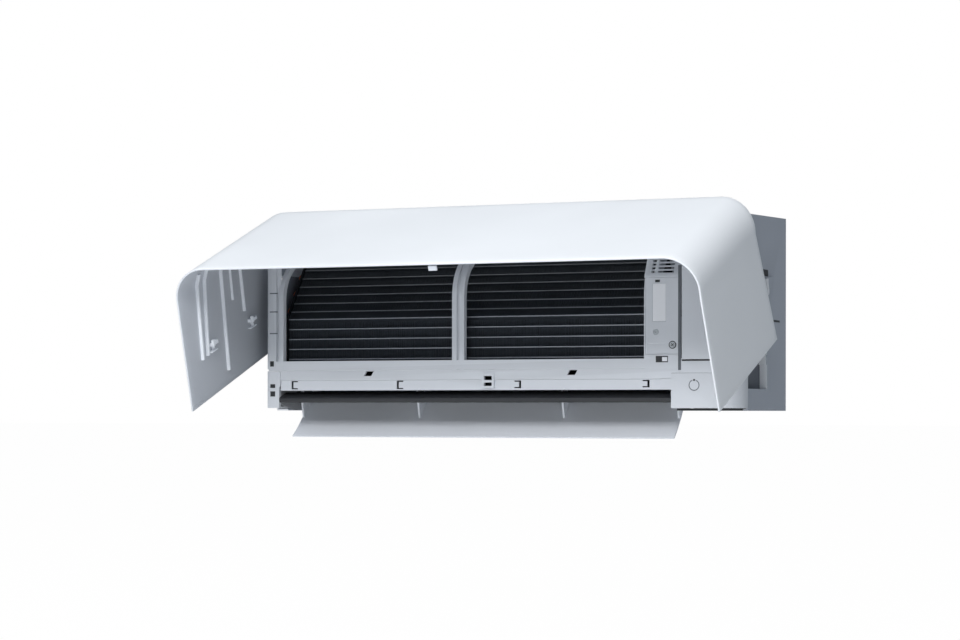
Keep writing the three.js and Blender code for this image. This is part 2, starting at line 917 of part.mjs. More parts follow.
const cornerCoverLeftEdge = outletLeft + 1.3;
const rightExtension = 254;

// Lugs on the top corners that carry the panel's hinge pins.
function hingeLugs() {
  const outer = halfBody - lugInset;
  const lug = [
    [hingeDepth - lugRadius, frameTop - 4],
    ...arc(hingeDepth, hingeHeight, lugRadius, 180, 0, 10),
    [hingeDepth + lugRadius, frameTop - 4],
  ];
  const bore = rodAlongX(
    outer - lugThickness - 1,
    outer + 1,
    hingeDepth,
    hingeHeight,
    boreRadius(hingePin, hingeClearance),
  );
  const right = cut(bar(lug, outer - lugThickness, outer), bore);
  return [right, mirrored(right)];
}

// ---- Covers ----

function terminalCover() {
  const left = windowRight + 1.8;
  const right = columnRight - 3.2;
  const back = frameFront - coverThickness;
  const plate = block(left, right, back, frameFront, terminalCoverBottom, terminalCoverTop);
  const recess = block(
    left + 10.5 - fit,
    left + 29.8 + fit,
    frameFront - 0.8,
    frameFront + 1,
    126 - fit,
    178.3 + fit,
  );
  const step = block(left + 3, right + 1, frameFront - 0.7, frameFront + 1, terminalCoverBottom - 1, 95);
  const peep = rodAlongY(left + 17, back - 1, frameFront + 1, 182.4, 2, 12);
  const screwHole = rodAlongY(coverScrewX, back - 1, frameFront + 1, coverScrewZ, 2.2, 16);
  const sink = rodAlongY(coverScrewX, frameFront - 1.2, frameFront + 1, coverScrewZ, 4.2, 16);
  return cut(plate, recess, step, peep, screwHole, sink);
}

const coverScrewX = windowRight + 17.2;
const coverScrewZ = 111;

function coverScrew() {
  const seat = frameFront - 1.2;
  const head = rodAlongY(coverScrewX, seat, frameFront - 0.1, coverScrewZ, 3.6, 16);
  const shank = rodAlongY(coverScrewX, frameFront - coverThickness - fit + 0.1, seat, coverScrewZ, 1.7, 12);
  const across = block(
    coverScrewX - 2.4,
    coverScrewX + 2.4,
    frameFront - 0.7,
    frameFront + 1,
    coverScrewZ - 0.4,
    coverScrewZ + 0.4,
  );
  const upright = block(
    coverScrewX - 0.4,
    coverScrewX + 0.4,
    frameFront - 0.7,
    frameFront + 1,
    coverScrewZ - 2.4,
    coverScrewZ + 2.4,
  );
  return cut(join(head, shank), across, upright);
}

function blankLabel() {
  const left = windowRight + 12.3;
  return block(left, left + 19.3, frameFront - 0.8, frameFront - 0.4, 126, 178.3);
}

function sideCover() {
  const shell = post(cornerOutline(columnRight, coverThickness), sideCoverBottom, sideCoverTop);
  const top = block(
    columnRight,
    halfBody - 8,
    boxFront + 1,
    frameFront - 1,
    sideCoverTop - wall,
    sideCoverTop,
  );
  return join(shell, top);
}

function rightCornerCover() {
  const shell = post(cornerOutline(outletRight, coverThickness), cornerCoverBottom, cornerCoverTop);
  const reach = block(
    rightExtension,
    outletRight + 1,
    frameFront - 2.6,
    frameFront,
    outletTop,
    stripTop + 0.5,
  );
  const cheek = block(
    outletRight + outletWall + fit,
    outletRight + outletWall + fit + wall,
    frameFront - 16,
    frameFront - 1,
    cornerCoverBottom,
    cornerCoverTop,
  );
  const ring = rodAlongY(buttonX, frameFront - 8, frameFront + 1, buttonZ, buttonRadius + 0.3, 24);
  return cut(join(shell, reach, cheek), ring);
}

const buttonZ = 35.8;

// The emergency switch: a round key with a stem that slides in its guide.
function switchButton() {
  const cap = rodAlongY(buttonX, frameFront - 3, frameFront, buttonZ, buttonRadius, 24);
  const stem = rodAlongY(buttonX, frameFront - 12, frameFront - 3, buttonZ, 2.5, 16);
  return join(cap, stem);
}

function switchGuide() {
  const back = frameFront - 24;
  const body = block(buttonX - 8, buttonX + 8, back, frameFront - 7, buttonZ - 7, buttonZ + 7);
  const bore = rodAlongY(
    buttonX,
    back + 5,
    frameFront - 6,
    buttonZ,
    boreRadius(2.5, shaftClearance, 16),
    16,
  );
  const bracket = block(buttonX - 8, buttonX + 8, back, back + wall, wall + fit, buttonZ - 6);
  const foot = block(buttonX - 8, buttonX + 8, chassisDepth - 13, back + wall, wall + fit, wall + fit + 2);
  return join(cut(body, bore), bracket, foot);
}

function leftCornerCover() {
  const left = -halfBody;
  const right = cornerCoverLeftEdge;
  const outer = block(left, right, chassisDepth + fit, frameFront, cornerCoverBottom, sillStep - fit);
  const inner = block(
    left + wall,
    right - wall,
    chassisDepth - 1,
    frameFront - wall,
    cornerCoverBottom + wall,
    sillStep - fit - wall,
  );
  const slots = [[22.5, 27.5], [34.5, 38.5]].map(([z0, z1]) =>
    block(left + 8, left + 13, frameFront - 4, frameFront + 1, z0, z1),
  );
  const opening = block(
    outletLeft - outletWall - fit,
    right + 1,
    chassisDepth,
    frameFront - 7,
    cornerCoverBottom - 1,
    sillStep,
  );
  const vaneNotch = block(
    right - 1.6,
    right + 1,
    chassisDepth,
    frameFront + 1,
    cornerCoverBottom - 1,
    outletTop + 6,
  );
  return cut(outer, inner, slots, opening, vaneNotch, leftTrim());
}

// ---- Top grille ----

function topGrille() {
  const half = halfBody - wall - 2 * fit;
  const first = 22 + fit;
  const last = 196 - fit;
  const rim = 4;
  const bays = 5;
  const rows = 9;
  const bayPitch = (2 * half - rim) / bays;
  const rowStep = (last - first - rim) / rows;
  const outline = [
    [first, topAt(first) - 5],
    [last, topAt(last) - 5],
    [last, topAt(last) - 1],
    [first, topAt(first) - 1],
  ];
  const slots = [];
  for (let i = 0; i < bays; i += 1) {
    for (let j = 0; j < rows; j += 1) {
      const x = -half + rim + bayPitch * i;
      const d = first + rim + rowStep * j;
      slots.push(block(x, x + bayPitch - rim, d, d + rowStep - rim, 260, 290));
    }
  }
  return cut(bar(outline, -half, half), slots);
}

// ---- Coil ----

// A fin pack's section in its own frame: u along the pack, v into it, with a small step at every row.
function finSection(length) {
  const rows = Math.floor(length / rowPitch);
  const edge = [];
  for (let i = 0; i < rows; i += 1) {
    const start = i * rowPitch;
    edge.push([start, 0], [start + 1.6, 0], [start + 1.6, rowRelief], [start + rowPitch, rowRelief]);
  }
  edge.push([rows * rowPitch, 0], [length, 0]);
  return [...edge, [length, coilThickness], [0, coilThickness]];
}

// The pack's section carried to its place: start is its lower front corner, lean is towards the wall.
function finPack(start, length, lean, flip = 1) {
  const angle = THREE.MathUtils.degToRad(lean);
  const along = [-Math.sin(angle), Math.cos(angle)];
  const inward = [-Math.cos(angle) * flip, -Math.sin(angle) * flip];
  return finSection(length).map(([u, v]) => [
    start[0] + along[0] * u + inward[0] * v,
    start[1] + along[1] * u + inward[1] * v,
  ]);
}

const lowerPack = () => finPack([coilFront, coilBottom], coilBreak - coilBottom, 0);
const upperPack = () => finPack([coilFront, coilBreak], coilUpperLength, coilLean);
const rearPack = () => finPack([coilRearDepth, coilRearHeight], coilRearLength, -coilRearLean, -1);

// The front lower pack, mitred under the leaning one.
function lowerCoil() {
  const run = coilThickness + 5;
  const wedge = [
    [coilFront + 1, coilBreak - fit],
    [coilFront + 1, coilBreak + 20],
    [coilFront - run, coilBreak + 20],
    [coilFront - run, coilBreak - fit - run * Math.tan(THREE.MathUtils.degToRad(coilLean))],
  ];
  return cut(bar(lowerPack(), coilLeft, coilRight), bar(wedge, coilLeft - 1, coilRight + 1));
}

// A tube sheet that carries the ends of all three packs.
function tubeSheet(x) {
  const margin = 3;
  const foot = troughFloor + wall + fit;
  const shelf = shelfTop() + fit;
  const hull = [
    [coilFront + margin, foot],
    [coilFront + margin, coilBreak + 1],
    [
      coilFront + margin - Math.sin(0.611) * coilUpperLength,
      coilBreak + 2 + Math.cos(0.611) * coilUpperLength,
    ],
    [coilRearDepth + Math.sin(0.651) * coilRearLength, coilRearHeight + 3 + Math.cos(0.651) * coilRearLength],
    [coilRearDepth - margin, coilRearHeight + 2],
    [coilRearDepth, shelf],
    [coilRearDepth + 20, shelf],
    [coilRearDepth + 20, coilRearHeight - 18],
    [coilRearDepth + 70, coilRearHeight + 50],
    [coilFront - 60, coilBreak + 50],
    [coilFront - coilThickness - 2, coilBreak - 12],
    [coilFront - coilThickness - 2, coilBottom + 1],
    [coilFront - coilThickness + 2, foot],
  ];
  return bar(hull, x, x + endPlate);
}

// ---- Crossflow fan ----

function fanBlade(angle) {
  const outer = fanRadius;
  const inner = fanRadius * 0.76;
  const sweep = THREE.MathUtils.degToRad(14);
  const half = bladeThickness / 2;
  const tip = [Math.cos(angle) * outer, Math.sin(angle) * outer];
  const root = [Math.cos(angle + sweep) * inner, Math.sin(angle + sweep) * inner];
  const run = new THREE.Vector2(tip[0] - root[0], tip[1] - root[1]).normalize();
  const side = [-run.y * half, run.x * half];
  const outline = [
    [root[0] - side[0], root[1] - side[1]],
    [tip[0] - side[0], tip[1] - side[1]],
    [tip[0] + side[0], tip[1] + side[1]],
    [root[0] + side[0], root[1] + side[1]],
  ];
  return bar(outline.map(([d, z]) => [fanDepth + d, fanHeight + z]), fanLeft, fanRight);
}

function crossflowFan() {
  const discThickness = 3;
  const blades = Array.from({ length: fanBlades }, (_, i) => fanBlade((2 * Math.PI * i) / fanBlades));
  const discs = Array.from({ length: fanDiscs }, (_, i) => {
    const x = fanLeft + ((fanRight - fanLeft - discThickness) * i) / (fanDiscs - 1);
    const disc = rodAlongX(x, x + discThickness, fanDepth, fanHeight, fanRadius + 1, 28);
    const middle = rodAlongX(x - 1, x + discThickness + 1, fanDepth, fanHeight, fanRadius * 0.68, 14);
    return i === 0 || i === fanDiscs - 1 ? disc : cut(disc, middle);
  });
  const hub = rodAlongX(fanRight - 18, fanRight + 6, fanDepth, fanHeight, 12, 24);
  const leftHub = rodAlongX(fanLeft, fanLeft + 12, fanDepth, fanHeight, 9, 24);
  const rightBore = rodAlongX(
    fanRight - 16,
    fanRight + 7,
    fanDepth,
    fanHeight,
    boreRadius(shaftRadius, 0.05),
    20,
  );
  const leftBore = rodAlongX(
    fanLeft - 1,
    fanLeft + 10,
    fanDepth,
    fanHeight,
    boreRadius(shaftRadius, 0.05),
    20,
  );
  return cut(join(blades, discs, hub, leftHub), rightBore, leftBore);
}

const fanPin = () => rodAlongX(partitionLeft - 2, fanLeft + 9.5, fanDepth, fanHeight, shaftRadius);
const motorShaft = () => rodAlongX(fanRight - 15.5, motorLeft + 12, fanDepth, fanHeight, shaftRadius);

function fanBearing() {
  const x = partitionLeft;
  const body = rodAlongX(x - 4, x + wall + 3, fanDepth, fanHeight, bearingRadius, 24);
  const flange = rodAlongX(x - 4, x - fit, fanDepth, fanHeight, bearingRadius + 3, 24);
  const bore = rodAlongX(
    x - 2.5,
    x + wall + 4,
    fanDepth,
    fanHeight,
    boreRadius(shaftRadius, shaftClearance),
    20,
  );
  return cut(join(body, flange), bore);
}

function fanMotor() {
  const right = motorLeft + motorLength;
  const profile = [
    [0, 0],
    [14, 0],
    [14, 6],
    [motorRadius - 6, 6],
    [motorRadius, 12],
    [motorRadius, motorLength - 8],
    [motorRadius - 5, motorLength],
    [0, motorLength],
  ].map(([r, h]) => new THREE.Vector2(r, h));
  const body = new THREE.LatheGeometry(profile, 32).rotateZ(-Math.PI / 2).translate(
    motorLeft,
    -fanDepth,
    fanHeight,
  );
  const bore = rodAlongX(
    motorLeft - 1,
    motorLeft + 13,
    fanDepth,
    fanHeight,
    boreRadius(shaftRadius, shaftClearance),
    20,
  );
  const pegs = rodAlongX(right - 1, right + 5, fanDepth, fanHeight, 8, 16);
  return join(cut(solid(body), bore), pegs);
}

// A cradle with two saddles, screwed to the chassis floor.
function motorCradle() {
  const floor = wall + fit;
  const d0 = fanDepth - 46;
  const d1 = fanDepth + 30;
  const saddles = [motorLeft + 14, motorLeft + 42].map((x) => block(x, x + 4, d0, d1, floor, fanHeight));
  const base = block(motorLeft + 10, motorLeft + 50, d0, d1, floor, floor + 3);
  const seat = rodAlongX(motorLeft, motorLeft + motorLength, fanDepth, fanHeight, motorRadius + fit, 32);
  return cut(join(saddles, base), seat);
}

// ---- Electrical box ----

function electricalBox() {
  const right = boxLeft + boxWidth;
  const outer = block(boxLeft, right - cornerSetback, boxBack, boxFront, boxBottom, boxTop);
  const inner = block(
    boxLeft + wall,
    right - cornerSetback - wall,
    boxBack + wall,
    boxFront + 1,
    boxBottom + wall,
    boxTop - wall,
  );
  const foot = block(boxLeft + 30, boxLeft + 58, boxBack, boxBack + wall, wall + fit, boxBottom + 1);
  const posts = [122, 230].map((z) => rodAlongY(boxLeft + 25, boxBack + 1, boardBack, z, 3, 12));
  return join(cut(outer, inner), foot, posts);
}

function controlBoard() {
  const d0 = boardBack + fit;
  const board = block(boxLeft + 6, boxLeft + 54, d0, d0 + 1.6, boxBottom + 52, boxTop - 8);
  const parts = [
    block(boxLeft + 12, boxLeft + 30, d0 + 1, d0 + 14, 200, 226),
    block(boxLeft + 34, boxLeft + 48, d0 + 1, d0 + 9, 196, 214),
    block(boxLeft + 12, boxLeft + 44, d0 + 1, d0 + 6, 160, 170),
    rodAlongY(boxLeft + 40, d0 + 1, d0 + 20, 236, 6, 16),
    rodAlongY(boxLeft + 20, d0 + 1, d0 + 17, 142, 7, 16),
  ];
  return join(board, parts);
}

function terminalBlock() {
  const z0 = boxBottom + wall + fit;
  const body = block(boxLeft + 6, boxLeft + 54, boxBack + wall + fit, boxBack + 24, z0, z0 + 26);
  const ways = 5;
  const wells = Array.from({ length: ways }, (_, i) => {
    const x = boxLeft + 9 + i * 9;
    return block(x, x + 7, boxBack + 15, boxBack + 26, z0 + 6, z0 + 20);
  });
  return cut(body, wells);
}

// ---- Vane motors ----

function stepMotor(x, depth, height, pin) {
  const body = rodAlongX(x, x + vaneMotorLength, depth, height, vaneMotorRadius, 24);
  const ear = block(x, x + 1.6, depth - 17, depth + 17, height - 3.5, height + 3.5);
  const bore = rodAlongX(x - 1, x + 7, depth, height, boreRadius(pin, shaftClearance), 20);
  return cut(join(body, ear), bore);
}

// ---- Pipes ----

function pipeRun([drop, end], line, radius) {
  const x = partitionRight + drop;
  const bends = [[x, 30, 150], [x, 26, 105], [x, 26, 62], [x - 8, line[0], line[1] + 8], [x - 30, ...line]];
  return pipe([...bends, [180, ...line], [100, ...line], [end, ...line]], radius, 9, 16);
}

function flareNut(x, depth, height, radius) {
  const start = x - 22;
  const nut = rodAlongX(start, x - fit, depth, height, radius * 1.9, 6);
  const stub = rodAlongX(start - 14, start + 1, depth, height, radius * 1.35, 16);
  return join(nut, stub);
}

function pipeClamp() {
  const x0 = 120;
  const x1 = 136;
  const gas = rodAlongX(x0 - 1, x1 + 1, ...gasLine, boreRadius(gasPipe + insulation, fit));
  const liquid = rodAlongX(x0 - 1, x1 + 1, ...liquidLine, boreRadius(liquidPipe + insulation / 2, fit));
  const floor = wall + fit;
  const body = block(x0, x1, 12, 57, floor, 44);
  const foot = block(x0, x1, 56, 80, floor, floor + 2);
  return cut(join(body, foot), gas, liquid);
}

// ---- Front panel: a wrap-round shell, drawn closed, about its hinge ----

// In the panel's frame the hinge is the origin, depth is measured from it towards the room.
function panelShell() {
  const half = panelWidth / 2;
  const reach = cheekDepth;
  const steps = 10;
  const face = hingeToFace;
  const flare = THREE.MathUtils.radToDeg(Math.atan(cheekFlare));
  const outer = panelOutline(half, face, panelRadius, flare, steps, face - reach);
  const inner = panelOutline(
    half - panelThickness,
    face - panelThickness,
    panelRadius - panelThickness,
    flare,
    steps,
    face - reach - 1,
  );
  const top = hingeToTop + 5;
  const bottom = hingeToTop - panelHeight - 4.5;
  const shell = cut(post(outer, bottom, top), post(inner, bottom - 1, top + 1));
  const above = [
    [face + 1, hingeToTop],
    [face, hingeToTop],
    [face - panelRadius, hingeToTop - panelDip],
    [face - reach - 1, top - 0.1],
    [face - reach - 1, top + 9],
    [face + 1, top + 9],
  ];
  const below = [
    [face + 1, hingeToTop - panelHeight],
    [face + 1, bottom - 9],
    [face - reach - 1, bottom - 9],
    [face - reach - 1, bottom + 0.1],
  ];
  const wide = half + 40;
  return cut(shell, bar(above, -wide, wide), bar(below, -wide, wide));
}

// The U-shaped outline of the panel as [x, depth] points, open towards the wall.
function panelOutline(half, face, radius, flare, steps, back) {
  const tan = Math.tan(THREE.MathUtils.degToRad(flare));
  const centreX = half - radius;
  const corner = arc(centreX, face - radius, radius, 90, -flare, steps);
  const [edgeX, edgeDepth] = corner[corner.length - 1];
  const right = [...corner, [edgeX + (edgeDepth - back) * tan, back]];
  const left = right.map(([x, d]) => [-x, d]).reverse();
  return [...left, ...right];
}

const cheekInside = (setback) => panelWidth / 2 - panelThickness + cheekFlare * (setback - panelRadius);

// A long rib on the inside of a cheek: u is down from the top edge, s is back from the face.
function cheekRib(u0, s0, u1, s1, height, width) {
  const d0 = hingeToFace - s0;
  const d1 = hingeToFace - s1;
  const z0 = hingeToTop - u0;
  const z1 = hingeToTop - u1;
  const root = cheekInside(Math.min(s0, s1)) - height;
  const outline = [[d0, z0 + width / 2], [d0, z0 - width / 2], [d1, z1 - width / 2], [d1, z1 + width / 2]];
  return bar(outline, root, panelWidth / 2 + 14);
}

// A hook-shaped clip that grips the chassis side when the panel is closed.
function cheekClip(u, s) {
  const inside = cheekInside(s);
  const d = hingeToFace - s;
  const z = hingeToTop - u;
  const stem = block(inside - 7, inside + 6, d - 2.5, d + 2.5, z - 9, z + 9);
  const nose = block(inside - 9, inside - 5.5, d - 2.5, d + 7, z - 9, z - 4);
  const fin = block(inside - 5, inside + 6, d - 12, d - 10.4, z - 11, z + 8);
  return [stem, nose, fin];
}

function cheekDetails() {
  const ribs = cheekRibs.map((ends) => cheekRib(...ends));
  const clips = cheekClips.map((place) => cheekClip(...place));
  return join(ribs, ...clips);
}

// Arms with pins that turn in the lugs of the frame.
function panelArm() {
  const inner = halfBody - lugInset + 1;
  const outer = inner + 4;
  const faceInside = hingeToFace - panelThickness + 0.5;
  const outline = [
    ...arc(0, 0, lugRadius, 90, 270, 8),
    [9, -lugRadius],
    [12, -26],
    [faceInside, -26],
    [faceInside, hingeToTop - 0.5],
    [6, lugRadius],
  ];
  const pin = rodAlongX(inner - lugThickness - 1.5, inner + 0.5, 0, 0, hingePin);
  return join(bar(outline, inner, outer), pin);
}

function frontPanel() {
  const half = panelWidth / 2;
  const details = cheekDetails().intersect(panelCore());
  const faceInside = hingeToFace - panelThickness;
  const ribs = [60, 205].map((u) =>
    block(
      -half + 60,
      half - 60,
      faceInside - 3,
      faceInside + 0.5,
      hingeToTop - u - 1.2,
      hingeToTop - u + 1.2,
    ),
  );
  const catchTab = block(
    catchLeft,
    catchLeft + catchWidth,
    faceInside - 9,
    faceInside + 0.5,
    hingeToTop - panelHeight + 3,
    hingeToTop - panelHeight + 6,
  );
  const arm = panelArm();
  return join(panelShell(), details, mirrored(details), ribs, catchTab, arm, mirrored(arm));
}

// The space inside the panel's outer skin, which trims the ribs and clips.
function panelCore() {
  const half = panelWidth / 2 - 1;
  const flare = THREE.MathUtils.radToDeg(Math.atan(cheekFlare));
  const outline = panelOutline(
    half,
    hingeToFace - 1,
    panelRadius - 1,
    flare,
    10,
    hingeToFace - cheekDepth + 3,
  );
  return post(outline, hingeToTop - panelHeight + 1, hingeToTop - 1);
}

// ---- Main vane, drawn closed, about its pivot ----

function vaneCurve(offset) {
  const [d0, z0] = [vaneRear[0] - vanePivotDepth, vaneRear[1] - vanePivotHeight];
  const [d1, z1] = [vaneLip[0] - vanePivotDepth, vaneLip[1] - vanePivotHeight];
  const steps = 8;
  const length = Math.hypot(d1 - d0, z1 - z0);
  const side = [(z1 - z0) / length, -(d1 - d0) / length];
  return Array.from({ length: steps + 1 }, (_, i) => {
    const t = i / steps;
    const sag = vaneSag * 4 * t * (1 - t) - offset;
    return [d0 + (d1 - d0) * t + side[0] * sag, z0 + (z1 - z0) * t + side[1] * sag];
  });
}

function mainVane() {
  const plate = bar(
    [...vaneCurve(0), ...vaneCurve(vaneThickness).reverse()],
    vaneLeft - vaneFlare,
    vaneRight + vaneFlare,
  );
  const flareCut = (end, sign) => {
    const back = vaneRear[0] - vanePivotDepth;
    const front = vaneLip[0] - vanePivotDepth;
    const outline = [
      [end, back - 2],
      [end + sign * vaneFlare, front],
      [end + sign * (vaneFlare + 4), front + 4],
      [end + sign * (vaneFlare + 4), back - 2],
    ];
    return post(sign > 0 ? outline : outline.reverse(), -60, 30);
  };
  const trimmed = cut(plate, flareCut(vaneLeft, -1), flareCut(vaneRight, 1));
  const ends = [vaneArm(vaneLeft, outletLeft - 1, 1), vaneArm(vaneRight - 3, vaneMotorLeft + 5, -1)];
  const middles = vaneArms.map((x) => vaneArm(x - 3, x + armGap + outletWall - 0.3, -1));
  return join(trimmed, ends, middles);
}

// An arm from the plate up to the pivot, with a pin to one side of it.
function vaneArm(x, pinEnd, side) {
  const seat = vaneRear[1] - vanePivotHeight;
  const outline = [
    ...arc(0, 0, vanePin + 2.5, 0, 180, 8),
    [-12, seat - 1],
    [26, seat - 1.5],
    [26, seat + 2.5],
  ];
  const arm = bar(outline, x, x + 3);
  const [from, to] = side > 0 ? [pinEnd, x + 1] : [x + 2, pinEnd];
  return join(arm, rodAlongX(from, to, 0, 0, vanePin));
}

// ---- Inner vane, about its pivot ----

function innerVane() {
  const half = innerThickness / 2;
  const section = [
    [innerFront, -0.5],
    [innerFront - 1.2, half - 1],
    [innerFront - 5, half],
    [-innerRear + 6, half - 2.4],
    [-innerRear, 0.4],
    [-innerRear, -0.6],
    [0, -half + 1],
    [innerFront - 4, -half],
    [innerFront - 0.8, -half + 1.5],
  ];
  const angle = THREE.MathUtils.degToRad(innerTilt);
  const turned = section.map(([d, z]) => [
    d * Math.cos(angle) - z * Math.sin(angle),
    d * Math.sin(angle) + z * Math.cos(angle),
  ]);
  const body = bar(turned, outletLeft + fit * 2, outletRight - fit * 2);
  const pins = rodAlongX(outletLeft - 1.5, outletRight + 1.5, 0, 0, vanePin);
  return join(body, pins);
}

// ---- Assembly ----

function swinging(child, depth, height, degrees = 0) {
  const group = new THREE.Group();
  group.position.set(0, -depth, height);
  group.rotation.x = THREE.MathUtils.degToRad(degrees);
  group.add(child);
  return group;
}

function fixedPieces() {
  return [
    node('wall_plate', wallPlate(), 'steel'),
    node('rear_chassis', rearChassis(), 'chassis'),
    node('outlet_housing', outletHousing(), 'dark'),
    node('front_frame', frontFrame(), 'frame'),
    node('top_grille', topGrille(), 'frame'),
    node('left_corner_cover', leftCornerCover(), 'frame'),
    node('right_corner_cover', rightCornerCover(), 'frame'),
    node('side_cover', sideCover(), 'frame'),
    node('terminal_cover', terminalCover(), 'frame'),
    node('cover_screw', coverScrew(), 'steel'),
    node('blank_label', blankLabel(), 'label'),
    node('coil_front_lower', lowerCoil(), 'fins'),
    node('coil_front_upper', bar(upperPack(), coilLeft, coilRight), 'fins'),
    node('coil_rear', bar(rearPack(), coilLeft, coilRight), 'fins'),
    node('tube_sheet_left', tubeSheet(coilLeft - endPlate - fit), 'steel'),
    node('tube_sheet_right', tubeSheet(coilRight + fit), 'steel'),
    node('electrical_box', electricalBox(), 'black'),
    node('control_board', controlBoard(), 'board'),
    node('terminal_block', terminalBlock(), 'black'),
    node('fan_motor', fanMotor(), 'steel'),
    node('motor_cradle', motorCradle(), 'chassis'),
    node('fan_bearing', fanBearing(), 'black'),
    node('vane_motor', stepMotor(vaneMotorLeft, vanePivotDepth, vanePivotHeight, vanePin), 'steel'),
    node('gas_pipe', pipeRun(gasPlace, gasLine, gasPipe + insulation), 'black'),
    node('liquid_pipe', pipeRun(liquidPlace, liquidLine, liquidPipe + insulation / 2), 'copper'),
    node('gas_flare_nut', flareNut(gasPlace[1], ...gasLine, gasPipe), 'brass'),
    node('liquid_flare_nut', flareNut(liquidPlace[1], ...liquidLine, liquidPipe), 'brass'),
    node('pipe_clamp', pipeClamp(), 'chassis'),
    node('switch_guide', switchGuide(), 'black'),
  ];
}

function movingPieces() {
  return [
    swinging(node('front_panel', frontPanel(), 'panel'), hingeDepth, hingeHeight, -panelAngle),
    swinging(node('main_vane', mainVane(), 'vane'), vanePivotDepth, vanePivotHeight, vaneAngle),
    swinging(node('inner_vane', innerVane(), 'dark'), innerPivotDepth, innerPivotHeight),
    guideAssembly(),
    node('crossflow_fan', crossflowFan(), 'dark'),
    node('fan_pin', fanPin(), 'steel'),
    node('motor_shaft', motorShaft(), 'steel'),
    node('switch_button', switchButton(), 'frame'),
  ];
}

const group = new THREE.Group();
group.name = 'indoor_unit';
group.position.z = -plateCentre;
group.add(...fixedPieces(), ...movingPieces());

export default group;
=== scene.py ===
import bpy, bmesh, json, math
from mathutils import Vector, Matrix


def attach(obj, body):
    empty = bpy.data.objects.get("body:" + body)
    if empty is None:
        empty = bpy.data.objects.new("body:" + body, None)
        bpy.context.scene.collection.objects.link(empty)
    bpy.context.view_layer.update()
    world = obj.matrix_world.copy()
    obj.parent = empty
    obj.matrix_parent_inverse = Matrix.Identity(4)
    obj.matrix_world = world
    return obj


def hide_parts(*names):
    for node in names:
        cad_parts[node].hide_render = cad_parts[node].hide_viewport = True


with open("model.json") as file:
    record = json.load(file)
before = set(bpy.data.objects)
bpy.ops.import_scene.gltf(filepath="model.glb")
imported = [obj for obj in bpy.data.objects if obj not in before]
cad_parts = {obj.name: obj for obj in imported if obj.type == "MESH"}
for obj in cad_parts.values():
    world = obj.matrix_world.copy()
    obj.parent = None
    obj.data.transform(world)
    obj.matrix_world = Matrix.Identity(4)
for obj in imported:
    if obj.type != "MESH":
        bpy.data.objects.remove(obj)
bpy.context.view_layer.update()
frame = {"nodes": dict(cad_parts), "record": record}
print("frame loaded")

mm = 0.001
drop = 150 * mm  # the origin is this far above the underside of the body
bodyOf = {node: body for body, nodes in frame["record"]["behaviour"]["bodies"].items() for node in nodes}
slotOf = {part["node"]: part["material_slot"] for part in frame["record"]["subparts"]}


def at(x, depth, height):
    # a place from millimetres across, out from the wall and up from the underside
    return Vector((x * mm, -depth * mm, height * mm - drop))


# camera, at the photograph's angle
camera = {
    "lens": 91.053, "sensor": 36, "shift": 0.0979, "farthest": 90,
    "place": (1383.7, 3451.04, -1.02), "yaw": 23.517, "pitch": -0.064, "roll": -0.057,
}


def setCamera():
    data = bpy.data.cameras.new("photo_camera")
    data.lens = camera["lens"]
    data.sensor_width = camera["sensor"]
    data.shift_y = camera["shift"]
    data.clip_end = camera["farthest"]
    seen = bpy.data.objects.new("photo_camera", data)
    seen.location = at(*camera["place"])
    angles = (90 + camera["pitch"], camera["roll"], camera["yaw"])
    seen.rotation_euler = [math.radians(a) for a in angles]
    bpy.context.scene.collection.objects.link(seen)
    bpy.context.scene.camera = seen


# light and floor
studio = {
    "world": 0.2, "air": (0.84, 0.96, 1.08), "aim": (0, -0.2, 0),
    "floorHeight": -0.46, "floorHalf": 50, "floorGlow": 0.988, "floorTones": (0.9, 0.93),
    "top": {"place": (-0.5, -0.9, 3.6), "power": 54, "size": (3.0, 2.4)},
    "front": {"place": (0.38, -3.4, 2.05), "power": 114, "size": (2.0, 1.6)},
    "low": {"place": (0.3, -0.9, -0.1), "power": 0.52, "size": (0.5, 0.4)},
}


def areaLamp(name, place, power, size):
    lamp = bpy.data.lights.new(name, "AREA")
    lamp.energy = power
    lamp.shape = "RECTANGLE"
    lamp.size, lamp.size_y = size
    lit = bpy.data.objects.new(name, lamp)
    lit.location = place
    lit.visible_camera = False
    lit.rotation_euler = (Vector(studio["aim"]) - Vector(place)).to_track_quat("-Z", "Y").to_euler()
    bpy.context.scene.collection.objects.link(lit)


def setLights():
    areaLamp("top_lamp", **studio["top"])
    areaLamp("front_lamp", **studio["front"])
    areaLamp("low_lamp", **studio["low"])
    world = bpy.data.worlds.new("studio_air")
    bpy.context.scene.world = world
    world.use_nodes = True
    nodes = world.node_tree.nodes
    links = world.node_tree.links
    nodes.clear()
    path = nodes.new("ShaderNodeLightPath")
    level = nodes.new("ShaderNodeMapRange")
    level.inputs["To Min"].default_value = studio["world"]
    level.inputs["To Max"].default_value = 1.0
    links.new(path.outputs["Is Camera Ray"], level.inputs["Value"])
    air = nodes.new("ShaderNodeBackground")
    tint = nodes.new("ShaderNodeMix")
    tint.data_type = "RGBA"
    links.new(path.outputs["Is Camera Ray"], tint.inputs[0])
    tint.inputs[6].default_value = (*studio["air"], 1)
    tint.inputs[7].default_value = (1, 1, 1, 1)
    links.new(tint.outputs[2], air.inputs["Color"])
    links.new(level.outputs["Result"], air.inputs["Strength"])
    out = nodes.new("ShaderNodeOutputWorld")
    links.new(air.outputs["Background"], out.inputs["Surface"])
    bpy.context.scene.view_settings.view_transform = "Standard"


# shader arithmetic: a Signal is a number that varies over a surface
class Signal:
    def __init__(self, paint, socket):
        self.paint = paint
        self.socket = socket

    def __add__(self, other):
        return self.paint.maths("ADD", self, other)

    def __mul__(self, other):
        return self.paint.maths("MULTIPLY", self, other)


